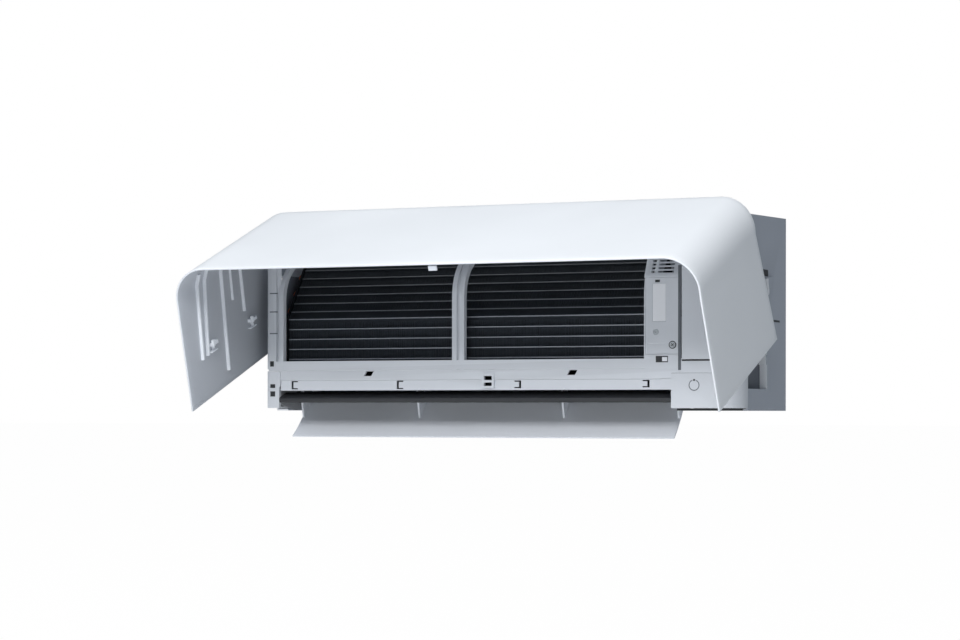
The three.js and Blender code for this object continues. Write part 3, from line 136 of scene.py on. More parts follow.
class Paint:
    def __init__(self, name, **fixed):
        self.material = bpy.data.materials.new(name)
        self.material.use_nodes = True
        self.tree = self.material.node_tree
        self.tree.nodes.clear()
        self.shader = self.node("ShaderNodeBsdfPrincipled", {}, fixed)
        self.out = self.tree.nodes.new("ShaderNodeOutputMaterial")
        self.tree.links.new(self.shader.outputs["BSDF"], self.out.inputs["Surface"])
        self.place = self.node("ShaderNodeTexCoord").outputs["Object"]

    def node(self, kind, settings=None, inputs=None):
        made = self.tree.nodes.new(kind)
        for key, value in (settings or {}).items():
            setattr(made, key, value)
        for key, value in (inputs or {}).items():
            self.feed(made.inputs[key], value)
        return made

    def feed(self, socket, value):
        if isinstance(value, Signal):
            value = value.socket
        if isinstance(value, bpy.types.NodeSocket):
            self.tree.links.new(value, socket)
        elif isinstance(value, (tuple, list)) and len(value) == 3 and socket.type == "RGBA":
            socket.default_value = (*value, 1)
        else:
            socket.default_value = value

    def maths(self, operation, *values):
        made = self.node("ShaderNodeMath", {"operation": operation}, dict(enumerate(values)))
        return Signal(self, made.outputs[0])

    def noise(self, scale, detail=2, rough=0.5, place=None):
        inputs = {"Vector": place or self.place, "Scale": scale, "Detail": detail, "Roughness": rough}
        return Signal(self, self.node("ShaderNodeTexNoise", {}, inputs).outputs["Fac"])

    def stretched(self, scale):
        made = self.node("ShaderNodeMapping", {}, {"Vector": self.place, "Scale": scale})
        return made.outputs["Vector"]

    def span(self, value, low, high, toLow=0.0, toHigh=1.0):
        inputs = {"Value": value, "From Min": low, "From Max": high, "To Min": toLow, "To Max": toHigh}
        return Signal(self, self.node("ShaderNodeMapRange", {}, inputs).outputs["Result"])

    def mix(self, share, first, second):
        made = self.node("ShaderNodeMix", {"data_type": "RGBA"})
        self.feed(made.inputs[0], share)
        self.feed(made.inputs[6], first)
        self.feed(made.inputs[7], second)
        return made.outputs[2]

    def edge(self):
        # painted highlight: brighter on outer corners
        sharp = Signal(self, self.node("ShaderNodeNewGeometry").outputs["Pointiness"])
        return self.span(sharp, 0.52, 0.6)

    def bump(self, height, distance, strength=1.0):
        inputs = {"Height": height, "Distance": distance, "Strength": strength}
        self.feed(self.shader.inputs["Normal"], self.node("ShaderNodeBump", {}, inputs).outputs["Normal"])

    def wear(self, **varying):
        for key, value in varying.items():
            self.feed(self.shader.inputs[key.replace("_", " ")], value)
        return self.material


def linear(red, green, blue):
    # a colour written as it shows on screen, as light
    return tuple(((c / 255 + 0.055) / 1.055) ** 2.4 for c in (red, green, blue))


def shade(colour, factor):
    return tuple(min(c * factor, 1) for c in colour)


def plastic(name, colour, roughness=0.5, grain=0.00002, dust=0.06, **fixed):
    paint = Paint(name, **fixed)
    cloud = paint.noise(7, 3)
    speck = paint.noise(900, 2)
    tone = paint.mix(paint.span(cloud, 0.3, 0.7), shade(colour, 1 - dust), colour)
    # painted highlight on outer corners
    tone = paint.mix(paint.edge() * 0.5, tone, shade(colour, 1.12))
    paint.bump(speck + paint.noise(2600, 1) * 0.6, grain)
    rough = paint.span(cloud + speck * 0.4, 0.3, 1.0, roughness - 0.05, roughness + 0.07)
    return paint.wear(Base_Color=tone, Roughness=rough)


def sheetMetal(name, colour, roughness=0.42, paintedShadeAbove=None):
    # painted shade above a height, if given: two heights between which the metal darkens, and how much of its
    # brightness is left
    paint = Paint(name, Metallic=0.85)
    flakes = paint.node("ShaderNodeTexVoronoi", {"feature": "F1"}, {"Vector": paint.place, "Scale": 130})
    flake = Signal(paint, flakes.outputs["Distance"])
    cloud = paint.noise(14, 3)
    tone = paint.mix(paint.span(flake + cloud, 0.4, 1.1), shade(colour, 0.82), shade(colour, 1.08))
    # painted highlight on outer corners
    tone = paint.mix(paint.edge() * 0.6, tone, shade(colour, 1.25))
    if paintedShadeAbove:
        low, high, left = paintedShadeAbove
        parts = paint.node("ShaderNodeSeparateXYZ", {}, {0: paint.place})
        raised = paint.span(Signal(paint, parts.outputs["Z"]), low, high)
        tone = paint.mix(raised, tone, shade(colour, left))
    paint.bump(paint.noise(700, 2), 0.00002)
    rough = paint.span(cloud, 0.3, 0.7, roughness - 0.08, roughness + 0.1)
    return paint.wear(Base_Color=tone, Roughness=rough)


def drawnMetal(name, colour, roughness=0.3):
    paint = Paint(name, Metallic=1.0)
    lines = paint.noise(60, 3, 0.6, paint.stretched((1, 18, 18)))
    stain = paint.noise(40, 3)
    tone = paint.mix(paint.span(stain, 0.45, 0.75), colour, shade(colour, 0.62))
    paint.bump(lines, 0.00002)
    rough = paint.span(lines + stain, 0.6, 1.4, roughness - 0.08, roughness + 0.14)
    return paint.wear(Base_Color=tone, Roughness=rough)


def panelBackPaintedShade(name, colour):
    # the inside of the panel, with painted shade: a greyer copy of the face's plastic, greyer towards the
    # hinge and lighter towards its free edge
    paint = Paint(name)
    parts = paint.node("ShaderNodeSeparateXYZ", {}, {0: paint.place})
    outward = Signal(paint, parts.outputs["Y"]) * -1
    free = paint.span(outward, 0.2, 0.46)
    cloud = paint.noise(9, 3)
    # painted shade, deepest towards the hinge
    tone = paint.mix(free * 0.85 + cloud * 0.15, shade(colour, 0.5), colour)
    paint.bump(paint.noise(1100, 2), 0.00001)
    return paint.wear(Base_Color=tone, Roughness=paint.span(cloud, 0.3, 0.7, 0.5, 0.6))


def foam(name, colour):
    paint = Paint(name)
    cells = paint.node("ShaderNodeTexVoronoi", {"feature": "F1"}, {"Vector": paint.place, "Scale": 900})
    cell = Signal(paint, cells.outputs["Distance"])
    paint.bump(cell, 0.0002, 0.8)
    tone = paint.mix(paint.span(cell, 0.0, 0.6), shade(colour, 0.6), shade(colour, 1.5))
    return paint.wear(Base_Color=tone, Roughness=paint.span(paint.noise(50), 0.3, 0.7, 0.8, 0.95))


def circuitBoard(name, colour):
    paint = Paint(name)
    bricks = {
        "Vector": paint.place, "Scale": 90, "Mortar Size": 0.03,
        "Color1": colour, "Color2": shade(colour, 0.8), "Mortar": shade(colour, 1.7),
    }
    tracks = paint.node("ShaderNodeTexBrick", {}, bricks)
    paint.bump(paint.noise(1500), 0.00001)
    rough = paint.span(paint.noise(80), 0.3, 0.7, 0.35, 0.5)
    return paint.wear(Base_Color=tracks.outputs["Color"], Roughness=rough)


def makeFinishes():
    return {
        "panel_white": plastic("panel_white", linear(236, 239, 243), 0.3, 0.000004, 0.02),
        "panel_back_painted_shade": panelBackPaintedShade("panel_back_painted_shade", linear(206, 211, 219)),
        # painted shade: the rim a darker copy of the face's plastic, to tone down the light on it
        "panel_rim_painted_shade": plastic("panel_rim_painted_shade", linear(219, 223, 229), 0.5),
        "panel_rib": plastic("panel_rib", linear(232, 236, 242), 0.42),
        "frame_plastic": plastic("frame_plastic", linear(204, 208, 214), 0.48),
        "chassis_plastic": plastic("chassis_plastic", linear(164, 170, 180), 0.52),
        "chassis_shade": plastic("chassis_shade", linear(92, 97, 106), 0.6),
        "outlet_grey": plastic("outlet_grey", linear(140, 142, 146), 0.55),
        "dark_plastic": plastic("dark_plastic", linear(42, 44, 48), 0.5),
        "vane_plastic": plastic("vane_plastic", linear(232, 236, 243), 0.4, 0.00001),
        # painted shade: the fins darker above, where the lifted panel shades the coil
        "coil_fins": sheetMetal("coil_fins", linear(82, 88, 96), 0.55, (-0.02, 0.03, 0.62)),
        # painted highlight on the fins' front edges, with painted shade above
        "fin_ridge_painted_highlight": sheetMetal("fin_ridge_painted_highlight", linear(170, 174, 181), 0.5, (-0.02, 0.06, 0.3)),
        "coil_shade": plastic("coil_shade", linear(22, 24, 28), 0.7, **{"Specular IOR Level": 0.1}),
        "galvanised": sheetMetal("galvanised", linear(168, 173, 177)),
        "copper_tube": drawnMetal("copper_tube", linear(164, 102, 76), 0.4),
        "brass_fitting": drawnMetal("brass_fitting", linear(196, 168, 104)),
        "board_green": circuitBoard("board_green", linear(46, 104, 70)),
        "black_plastic": plastic("black_plastic", linear(38, 39, 42), 0.5),
        # painted shade for the groove beside the cover
        "groove_painted_shade": plastic("groove_painted_shade", linear(92, 96, 102), 0.7),
        "ring_grey": plastic("ring_grey", linear(96, 102, 110), 0.5),
        "foam_black": foam("foam_black", linear(34, 34, 36)),
        "label_blank": plastic("label_blank", linear(224, 226, 230), 0.45, 0.00001, 0.03),
    }


def addPiece(name, mesh, finish, body, replaced=()):
    piece = bpy.data.objects.new(name, mesh)
    bpy.context.scene.collection.objects.link(piece)
    mesh.materials.clear()
    mesh.materials.append(finishes[finish])
    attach(piece, body)
    if replaced:
        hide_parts(*replaced)
    return piece


def softenEdges(piece, width, segments=2, angle=32):
    bevel = piece.modifiers.new("soft_edges", "BEVEL")
    bevel.width = width * mm
    bevel.segments = segments
    bevel.limit_method = "ANGLE"
    bevel.angle_limit = math.radians(angle)
    bevel.use_clamp_overlap = True
    bevel.harden_normals = False


def smooth(mesh, angle=32):
    bm = bmesh.new()
    bm.from_mesh(mesh)
    for face in bm.faces:
        face.smooth = True
    for edge in bm.edges:
        edge.smooth = edge.calc_face_angle(3.2) < math.radians(angle)
    bm.to_mesh(mesh)
    bm.free()


def dressEnds(piece, low, high, finish):
    # the faces beyond two X values get another finish
    piece.data.materials.append(finishes[finish])
    for face in piece.data.polygons:
        if face.center.x < low * mm or face.center.x > high * mm:
            face.material_index = 1


# the sunk field of each side of the chassis, and how far out its floor and its walls reach
recess = {"across": (358, 373), "depth": (90, 189), "height": (28, 205), "floor": 363, "walls": 372}


def paintRecessShadeAndLight(piece):
    # painted shade on the floor, and painted light on the walls where they face the room or up
    piece.data.materials.append(finishes["chassis_shade"])
    piece.data.materials.append(finishes["panel_white"])
    for face in piece.data.polygons:
        across = abs(face.center.x) / mm
        places = {"across": across, "depth": -face.center.y / mm, "height": (face.center.z + drop) / mm}
        if not all(recess[key][0] < value < recess[key][1] for key, value in places.items()):
            continue
        if abs(face.normal.x) > 0.9 and across < recess["floor"]:
            face.material_index = 1
        elif across < recess["walls"] and (face.normal.y < -0.9 or face.normal.z > 0.9):
            face.material_index = 2


def mouldedCopy(node, width, finish=None):
    # the CAD node's own shape with its moulded edges rounded
    mesh = frame["nodes"][node].data.copy()
    bm = bmesh.new()
    bm.from_mesh(mesh)
    bmesh.ops.remove_doubles(bm, verts=bm.verts, dist=2e-5)
    bmesh.ops.dissolve_limit(bm, angle_limit=math.radians(0.6), verts=bm.verts, edges=bm.edges)
    bm.to_mesh(mesh)
    bm.free()
    smooth(mesh)
    slot = slotOf[node]
    piece = addPiece(node + "_moulded", mesh, finish or slot, bodyOf[node], (node,))
    softenEdges(piece, width)
    return piece


# Geometry Nodes: a tree is built here, its sizes are its named inputs
class Growth:
    def __init__(self, name, sizes):
        self.tree = bpy.data.node_groups.new(name, "GeometryNodeTree")
        self.sizes = sizes
        sockets = {int: "NodeSocketInt", float: "NodeSocketFloat", tuple: "NodeSocketVector"}
        self.tree.interface.new_socket("Geometry", in_out="INPUT", socket_type="NodeSocketGeometry")
        for label, value in sizes.items():
            self.tree.interface.new_socket(label, in_out="INPUT", socket_type=sockets[type(value)])
        self.tree.interface.new_socket("Geometry", in_out="OUTPUT", socket_type="NodeSocketGeometry")
        self.start = self.tree.nodes.new("NodeGroupInput")
        self.end = self.tree.nodes.new("NodeGroupOutput")

    def given(self, label):
        return self.start.outputs[label]

    def node(self, kind, settings=None, inputs=None):
        made = self.tree.nodes.new(kind)
        for key, value in (settings or {}).items():
            setattr(made, key, value)
        for key, value in (inputs or {}).items():
            if isinstance(value, bpy.types.NodeSocket):
                self.tree.links.new(value, made.inputs[key])
            else:
                made.inputs[key].default_value = value
        return made

    def finish(self, geometry, finish):
        real = self.node("GeometryNodeRealizeInstances", {}, {"Geometry": geometry})
        inputs = {"Geometry": real.outputs["Geometry"], "Material": finishes[finish]}
        dressed = self.node("GeometryNodeSetMaterial", {}, inputs)
        self.tree.links.new(dressed.outputs["Geometry"], self.end.inputs["Geometry"])

    def grown(self, mesh):
        # the tree's result on a starting mesh, as a plain mesh
        seed = bpy.data.objects.new("seed_shape", mesh)
        bpy.context.scene.collection.objects.link(seed)
        work = seed.modifiers.new("growth", "NODES")
        work.node_group = self.tree
        for item in self.tree.interface.items_tree:
            if item.item_type == "SOCKET" and item.in_out == "INPUT" and item.name in self.sizes:
                work[item.identifier] = self.sizes[item.name]
        seed.update_tag()
        depsgraph = bpy.context.evaluated_depsgraph_get()
        result = bpy.data.meshes.new_from_object(seed.evaluated_get(depsgraph))
        bpy.data.objects.remove(seed)
        return result


def copiesInRow(mesh, count, offset, finish, jitter=0.0):
    growth = Growth("copies_in_row", {"Count": count, "Offset": offset, "Jitter": jitter})
    inputs = {"Count": growth.given("Count"), "Offset": growth.given("Offset")}
    spots = growth.node("GeometryNodeMeshLine", {}, inputs)
    low = growth.node("ShaderNodeVectorMath", {"operation": "SCALE"}, {0: growth.given("Offset")})
    growth.tree.links.new(growth.given("Jitter"), low.inputs["Scale"])
    shake = growth.node("FunctionNodeRandomValue", {"data_type": "FLOAT"}, {2: -1.0, 3: 1.0, "Seed": 7})
    inputs = {0: low.outputs[0], "Scale": shake.outputs[1]}
    shift = growth.node("ShaderNodeVectorMath", {"operation": "SCALE"}, inputs)
    inputs = {"Geometry": spots.outputs["Mesh"], "Offset": shift.outputs[0]}
    moved = growth.node("GeometryNodeSetPosition", {}, inputs)
    inputs = {"Points": moved.outputs["Geometry"], "Instance": growth.given("Geometry")}
    copies = growth.node("GeometryNodeInstanceOnPoints", {}, inputs)
    growth.finish(copies.outputs["Instances"], finish)
    return growth.grown(mesh)


def tubeBends(spots, tilt, turn, radius, tubeRadius):
    # a copper U-bend at each spot
    mesh = bpy.data.meshes.new("bend_spots")
    mesh.from_pydata(spots, [], [])
    sizes = {"Turned": (tilt, turn, 0.0), "Bend Radius": radius, "Tube Radius": tubeRadius}
    growth = Growth("tube_bends", sizes)
    inputs = {"Radius": growth.given("Bend Radius"), "Start Angle": -math.pi / 2, "Sweep Angle": math.pi}
    inputs["Resolution"] = 11
    arc = growth.node("GeometryNodeCurveArc", {}, inputs)
    inputs = {"Resolution": 10, "Radius": growth.given("Tube Radius")}
    ring = growth.node("GeometryNodeCurvePrimitiveCircle", {}, inputs)
    inputs = {"Curve": arc.outputs["Curve"], "Profile Curve": ring.outputs["Curve"], "Fill Caps": True}
    tube = growth.node("GeometryNodeCurveToMesh", {}, inputs)
    turned = growth.node("FunctionNodeEulerToRotation", {}, {"Euler": growth.given("Turned")})
    inputs = {"Points": growth.given("Geometry"), "Instance": tube.outputs["Mesh"]}
    inputs["Rotation"] = turned.outputs["Rotation"]
    copies = growth.node("GeometryNodeInstanceOnPoints", {}, inputs)
    growth.finish(copies.outputs["Instances"], "copper_tube")
    return growth.grown(mesh)


def prism(bm, outline, start, end, place):
    # a closed form: an outline of two values, run from start to end; place turns all three into a point
    ends = [[bm.verts.new(place(run, a, b)) for a, b in outline] for run in (start, end)]
    bm.faces.new(ends[0])
    bm.faces.new(list(reversed(ends[1])))
    for i in range(len(outline)):
        k = (i + 1) % len(outline)
        bm.faces.new((ends[0][k], ends[0][i], ends[1][i], ends[1][k]))


def circle(x, z, radius, start=0, sweep=360, steps=28):
    closed = sweep >= 360
    angles = [math.radians(start + sweep * i / steps) for i in range(steps if closed else steps + 1)]
    return [(x + radius * math.cos(a), z + radius * math.sin(a)) for a in angles]


def box(xs, zs):
    return [(xs[0], zs[0]), (xs[1], zs[0]), (xs[1], zs[1]), (xs[0], zs[1])]


def meshFrom(name, build):
    bm = bmesh.new()
    build(bm)
    bmesh.ops.recalc_face_normals(bm, faces=bm.faces)
    mesh = bpy.data.meshes.new(name)
    bm.to_mesh(mesh)
    bm.free()
    return mesh


# coil: three packs of thin plates, whose front edges are flat at each tube row, with copper bends
coil = {
    "left": -344, "right": 226, "thickness": 25, "edgeInset": 0.3, "cornerInset": 0.6,
    "flat": 1.8, "flatInset": 0.2, "relief": 2.2, "hollowSteps": (0.06, 0.25, 0.5, 0.75, 0.94),
    "finPitch": 1.5, "finThickness": 0.3, "finStart": 0.2, "finJitter": 0.1,
    "coreInset": 3.5, "coreEnds": 1, "ridge": (0.5, 1.4), "ridgeTrim": 0.1, "ridgeEnds": 0.6,
    "bendColumns": (8, 17.5), "bendGap": 2.5, "bendRadius": 6.2, "tubeRadius": 2.6,
    "packs": {
        "coil_front_lower": {
            "start": (205, 66), "length": 71.7, "lean": 0, "flip": 1, "mitre": 35,
            "firstRow": 11, "rowPitch": 14.95,
        },
        "coil_front_upper": {
            "start": (205, 138), "length": 138, "lean": 35, "flip": 1, "mitre": 0,
            "firstRow": 13.6, "rowPitch": 15.8,
        },
        "coil_rear": {
            "start": (38, 178), "length": 80, "lean": -37.3, "flip": -1, "mitre": 0,
            "firstRow": 10, "rowPitch": 14.6,
        },
    },
}


def packPlace(pack, along, inward):
    lean = math.radians(pack["lean"])
    d0, z0 = pack["start"]
    depth = d0 - math.sin(lean) * along - math.cos(lean) * pack["flip"] * inward
    return depth, z0 + math.cos(lean) * along - math.sin(lean) * pack["flip"] * inward


def packTop(pack, inward):
    return pack["length"] - inward * math.tan(math.radians(pack["mitre"]))


def rowsOf(pack):
    top = packTop(pack, 0) - coil["flat"] / 2 + 0.01
    count = int((top - pack["firstRow"]) / pack["rowPitch"]) + 1
    return [pack["firstRow"] + pack["rowPitch"] * i for i in range(count)]


def finOutline(pack):
    edge, corner, front = (coil["edgeInset"], coil["cornerInset"], coil["flatInset"])
    edges = [(edge, corner)]
    rows = rowsOf(pack)
    half = coil["flat"] / 2
    span = pack["rowPitch"] - coil["flat"]
    for row in rows:
        edges += [(row - half, front), (row + half, front)]
        if row != rows[-1]:
            for t in coil["hollowSteps"]:
                edges.append((row + half + span * t, front + coil["relief"] * (4 * t * (1 - t)) ** 0.5))
    back = coil["thickness"] - edge
    edges += [(packTop(pack, corner) + 0.1, corner), (packTop(pack, back) - edge, back), (edge, back)]
    return [packPlace(pack, along, inward) for along, inward in edges]


def makeFins(node, pack):
    start = coil["left"] + coil["finStart"]
    fin = meshFrom("fin", lambda bm: prism(bm, finOutline(pack), start, start + coil["finThickness"], at))
    count = int((coil["right"] - coil["left"] - 1) / coil["finPitch"])
    fins = copiesInRow(fin, count, (coil["finPitch"] * mm, 0.0, 0.0), "coil_fins", coil["finJitter"])
    addPiece(node + "_fins", fins, "coil_fins", bodyOf[node], (node,))


def makeCore(node, pack):
    # painted shade: a dark body inside the plates stands for the shade deep in the coil, so that nothing
    # shows through between them
    front = coil["coreInset"]
    back = coil["thickness"] - front
    corners = [(front, front), (packTop(pack, front) - front, front), (packTop(pack, back) - front, back)]
    outline = [packPlace(pack, along, inward) for along, inward in corners + [(front, back)]]
    left, right = (coil["left"] + coil["coreEnds"], coil["right"] - coil["coreEnds"])
    core = meshFrom("core", lambda bm: prism(bm, outline, left, right, at))
    addPiece(node + "_core", core, "coil_shade", bodyOf[node])


def makeRidges(node, pack):
    # painted highlight: a pale strip for the bright line along each tube row
    rows = rowsOf(pack)
    half = coil["flat"] / 2 - coil["ridgeTrim"]
    near, far = coil["ridge"]
    low, high = (rows[0] - half, rows[0] + half)
    corners = [(low, near), (high, near), (high, far), (low, far)]
    outline = [packPlace(pack, along, inward) for along, inward in corners]
    left, right = (coil["left"] + coil["ridgeEnds"], coil["right"] - coil["ridgeEnds"])
    ridge = meshFrom("ridge", lambda bm: prism(bm, outline, left, right, at))
    lean = math.radians(pack["lean"])
    step = (0.0, math.sin(lean) * pack["rowPitch"] * mm, math.cos(lean) * pack["rowPitch"] * mm)
    ridges = copiesInRow(ridge, len(rows), step, "fin_ridge_painted_highlight")
    addPiece(node + "_ridges", ridges, "fin_ridge_painted_highlight", bodyOf[node])


def makeBends(node, pack):
    # drawn at the left end only
    rows = rowsOf(pack)
    end = coil["left"] - coil["bendGap"]
    spots = []
    for first, column in enumerate(coil["bendColumns"]):
        for row in rows[first:-1:2]:
            spots.append(at(end, *packPlace(pack, row + pack["rowPitch"] / 2, column)))
    turned = (-math.radians(90 - pack["lean"]), math.pi)
    bends = tubeBends(spots, *turned, coil["bendRadius"] * mm, coil["tubeRadius"] * mm)
    for face in bends.polygons:
        face.use_smooth = True
    addPiece(node + "_bends", bends, "copper_tube", bodyOf[node])


def makeCoil():
    for node, pack in coil["packs"].items():
        makeFins(node, pack)
        makeCore(node, pack)
        makeRidges(node, pack)
        makeBends(node, pack)
    print("coil fins, ridges and tube bends made")


# front panel: a face with rounded ends and two cheeks, in the lifted place
panel = {
    "hinge": (0, 213.8, 277.3), "lift": 68.6, "faceOut": 21.2, "topUp": 3.7, "height": 273, "depth": 214,
    "halfWidth": 391.5, "radius": 49, "flare": 0.049, "wall": 2.8, "edge": 1.1,
    "dip": 14.8, "rise": 5, "riseEnd": 212, "drop": 4.5, "bow": 1.8, "bowReach": 342, "bowFade": 60,
    "steps": {"corner": 18, "face": 14, "cheek": 12, "down": 20},
}


def liftMatrix():
    return Matrix.Translation(at(*panel["hinge"])) @ Matrix.Rotation(math.radians(-panel["lift"]), 4, "X")


def panelPoint(x, setback, down):
    # across, back from the face and down from the top edge, in the lifted place
    local = Vector((x, -(panel["faceOut"] - setback), panel["topUp"] - down)) * mm
    return liftMatrix() @ local


def panelOutline():
    # places across and back from the face, from the left cheek's rear edge to the right one's
    radius, half, steps = (panel["radius"], panel["halfWidth"], panel["steps"])
    tilt = math.atan(panel["flare"])
    side = []
    for i in range(steps["corner"] + 1):
        turn = math.radians(90) - (math.radians(90) + tilt) * i / steps["corner"]
        side.append((half - radius + radius * math.cos(turn), radius - radius * math.sin(turn)))
    endX, endBack = side[-1]
    for i in range(1, steps["cheek"] + 1):
        back = endBack + (panel["depth"] - endBack) * i / steps["cheek"]
        side.append((endX + (back - endBack) * panel["flare"], back))
    flat = side[0][0]
    middle = [(-flat + 2 * flat * i / steps["face"], 0) for i in range(1, steps["face"])]
    return [(-x, back) for x, back in reversed(side)] + middle + side


def panelEdges(x, back):
    # how far down the top and the bottom edge are at a place on the outline
    radius, dip, bow = (panel["radius"], panel["dip"], panel["bow"])
    if back < radius:
        top = dip * back / radius
    else:
        top = dip - (dip + panel["rise"]) * (back - radius) / (panel["riseEnd"] - radius)
    bowed = bow * max(0, 1 - (x / panel["bowReach"]) ** 2) if back < 0.01 else 0
    bottom = panel["height"] - bow + bowed + panel["drop"] * back / panel["depth"]
    return top, bottom + min(back / panel["bowFade"], 1) * bow


def makePanel():
    rows = panel["steps"]["down"]
    bm = bmesh.new()
    grid = []
    for x, back in panelOutline():
        top, bottom = panelEdges(x, back)
        downs = [top + (bottom - top) * r / rows for r in range(rows + 1)]
        grid.append([bm.verts.new(panelPoint(x, back, down)) for down in downs])
    for a, b in zip(grid, grid[1:]):
        for r in range(rows):
            bm.faces.new((a[r], a[r + 1], b[r + 1], b[r]))
    bmesh.ops.recalc_face_normals(bm, faces=bm.faces)
    mesh = bpy.data.meshes.new("panel_shell")
    bm.to_mesh(mesh)
    bm.free()
    outward = (liftMatrix().to_3x3() @ Vector((0, -1, 0))).normalized()
    centre = panelPoint(0, 0, panel["height"] / 2)
    middle = min(mesh.polygons, key=lambda face: (face.center - centre).length)
    if middle.normal.dot(outward) < 0:
        mesh.flip_normals()
    for face in mesh.polygons:
        face.use_smooth = True
    piece = addPiece("panel_shell", mesh, "panel_white", "front_panel", ("front_panel",))
    wall = piece.modifiers.new("wall", "SOLIDIFY")
    wall.thickness = panel["wall"] * mm
    wall.offset = -1
    wall.use_even_offset = True
    # the inner faces take the inside finish with its painted shade
    wall.material_offset = 1
    # the rim takes the darker rim finish, painted shade
    wall.material_offset_rim = 2
    mesh.materials.append(finishes["panel_back_painted_shade"])
    mesh.materials.append(finishes["panel_rim_painted_shade"])
    softenEdges(piece, panel["edge"], 3, 60)
    print("panel shell made")


def slab(bm, corners):
    # a closed block from eight corners: four below, four above
    v = [bm.verts.new(c) for c in corners]
    for a, b, c, d in ((3, 2, 1, 0), (4, 5, 6, 7), (0, 1, 5, 4), (1, 2, 6, 5), (2, 3, 7, 6), (3, 0, 4, 7)):
        bm.faces.new((v[a], v[b], v[c], v[d]))


# ribs and clips inside both cheeks
cheekRibs = {
    # each rib's start and end, down and back, then its height and width
    "long": [
        (216.4, 26, 231.8, 151.3, 4.4, 3.6), (192.9, 26, 215.8, 150.1, 4.4, 3.8),
        (143.1, 26, 162.6, 192.6, 4.4, 3.6), (115.4, 26, 121, 97.3, 3.4, 2.6),
        (85.1, 26, 91.6, 124.8, 4.2, 3.2),
    ],
    "steps": 8, "sunk": 0.6,
    # each clip's place, down and back, and its blocks' extents: inward, back and down from there
    "clips": [(198.2, 137.1), (74.6, 143.5)],
    "blocks": [
        (-7, 0.6, -2.5, 2.5, -9, 9), (-9, -5.5, -7, 2.5, 4, 9),
        (-5, 0.6, 10.4, 12, -8, 11), (-4, 0.6, 2.4, 10.5, -1, 1),
    ],
}


def cheekInside(back):
    # how far the inner face is from the middle
    radius, wall, half = (panel["radius"], panel["wall"], panel["halfWidth"])
    if back < radius:
        return half - radius + math.sqrt(max((radius - wall) ** 2 - (radius - back) ** 2, 0))
    return half - wall + panel["flare"] * (back - radius)


def longRib(bm, side, rib):
    down0, back0, down1, back1, high, wide = rib
    steps = cheekRibs["steps"]
    for i in range(steps):
        low, top = ([], [])
        for t in (i / steps, (i + 1) / steps):
            down, back = (down0 + (down1 - down0) * t, back0 + (back1 - back0) * t)
            inner = cheekInside(back)
            for half in (-wide / 2, wide / 2):
                low.append(panelPoint(side * (inner + cheekRibs["sunk"]), back, down + half))
                top.append(panelPoint(side * (inner - high), back, down + half))
        around = (0, 1, 3, 2)
        slab(bm, [low[k] for k in around] + [top[k] for k in around])


def clip(bm, side, place):
    down, back = place
    inner = cheekInside(back)
    for x0, x1, back0, back1, down0, down1 in cheekRibs["blocks"]:
        around = ((back0, down0), (back1, down0), (back1, down1), (back0, down1))
        corners = [panelPoint(side * (inner + x), back + b, down + d) for x in (x0, x1) for b, d in around]
        slab(bm, corners)


def makeCheekRibs():
    bm = bmesh.new()
    for side in (-1, 1):
        for rib in cheekRibs["long"]:
            longRib(bm, side, rib)
        for place in cheekRibs["clips"]:
            clip(bm, side, place)
    bmesh.ops.remove_doubles(bm, verts=bm.verts, dist=1e-6)
    bmesh.ops.recalc_face_normals(bm, faces=bm.faces)
    mesh = bpy.data.meshes.new("cheek_ribs")
    bm.to_mesh(mesh)
    bm.free()
    softenEdges(addPiece("cheek_ribs", mesh, "panel_rib", "front_panel"), 0.5)
    print("cheek ribs and clips made")


# ribs behind the face, the catch under its edge and the hinge arms, from the hinge line
panelInside = {
    "arm": {
        "inner": 353.5, "thickness": 4, "pinFrom": 348, "pinRadius": 3, "pinSunk": 0.5, "head": 6,
        "foot": [(9, -6), (12, -26), (18.9, -26), (18.9, 3.2), (6, 6)],
    },
    "ribs": {"drops": (60, 205), "halfLength": 331.5, "depth": (15.4, 18.9), "halfWidth": 1.2},
    "catch": {"x": (8, 20.5), "depth": (9.4, 16.4), "height": (-266.3, -263.3)},
}


def hingePoint(x, depth, height):
    # across, out and up from the hinge line, in the lifted place
    return liftMatrix() @ (Vector((x, -depth, height)) * mm)


def hingeBox(bm, x, depth, height):
    prism(bm, box(depth, height), *x, hingePoint)


def panelArm(bm, side):
    arm = panelInside["arm"]
    outline = circle(0, 0, arm["head"], 90, 180, 12) + arm["foot"]
    prism(bm, outline, side * arm["inner"], side * (arm["inner"] + arm["thickness"]), hingePoint)
    pin = circle(0, 0, arm["pinRadius"], steps=18)
    prism(bm, pin, side * arm["pinFrom"], side * (arm["inner"] + arm["pinSunk"]), hingePoint)


def makePanelInside():
    def build(bm):
        ribs = panelInside["ribs"]
        for down in ribs["drops"]:
            middle = panel["topUp"] - down
            height = (middle - ribs["halfWidth"], middle + ribs["halfWidth"])
            hingeBox(bm, (-ribs["halfLength"], ribs["halfLength"]), ribs["depth"], height)
        catch = panelInside["catch"]
        hingeBox(bm, catch["x"], catch["depth"], catch["height"])
        for side in (-1, 1):
            panelArm(bm, side)

    mesh = meshFrom("panel_inside", build)
    smooth(mesh)
    softenEdges(addPiece("panel_inside", mesh, "panel_back_painted_shade", "front_panel"), 0.4)
    print("panel ribs, catch and hinge arms made")


# a tab that carries the left cheek on behind the frame; it leans as the cheek does
cheekTab = {
    "outline": ((204, 218), (195, 172), (184, 166), (180, 218)), "start": (-391.1, 202.6, 194.9),
    "lean": (0.02, 0.05), "inset": 0.5, "wall": 1.7,
}


def cheekTabPoint(outward, depth, height):
    x0, depth0, height0 = cheekTab["start"]
    byDepth, byHeight = cheekTab["lean"]
    return at(x0 + byDepth * (depth - depth0) + byHeight * (height - height0) - outward, depth, height)


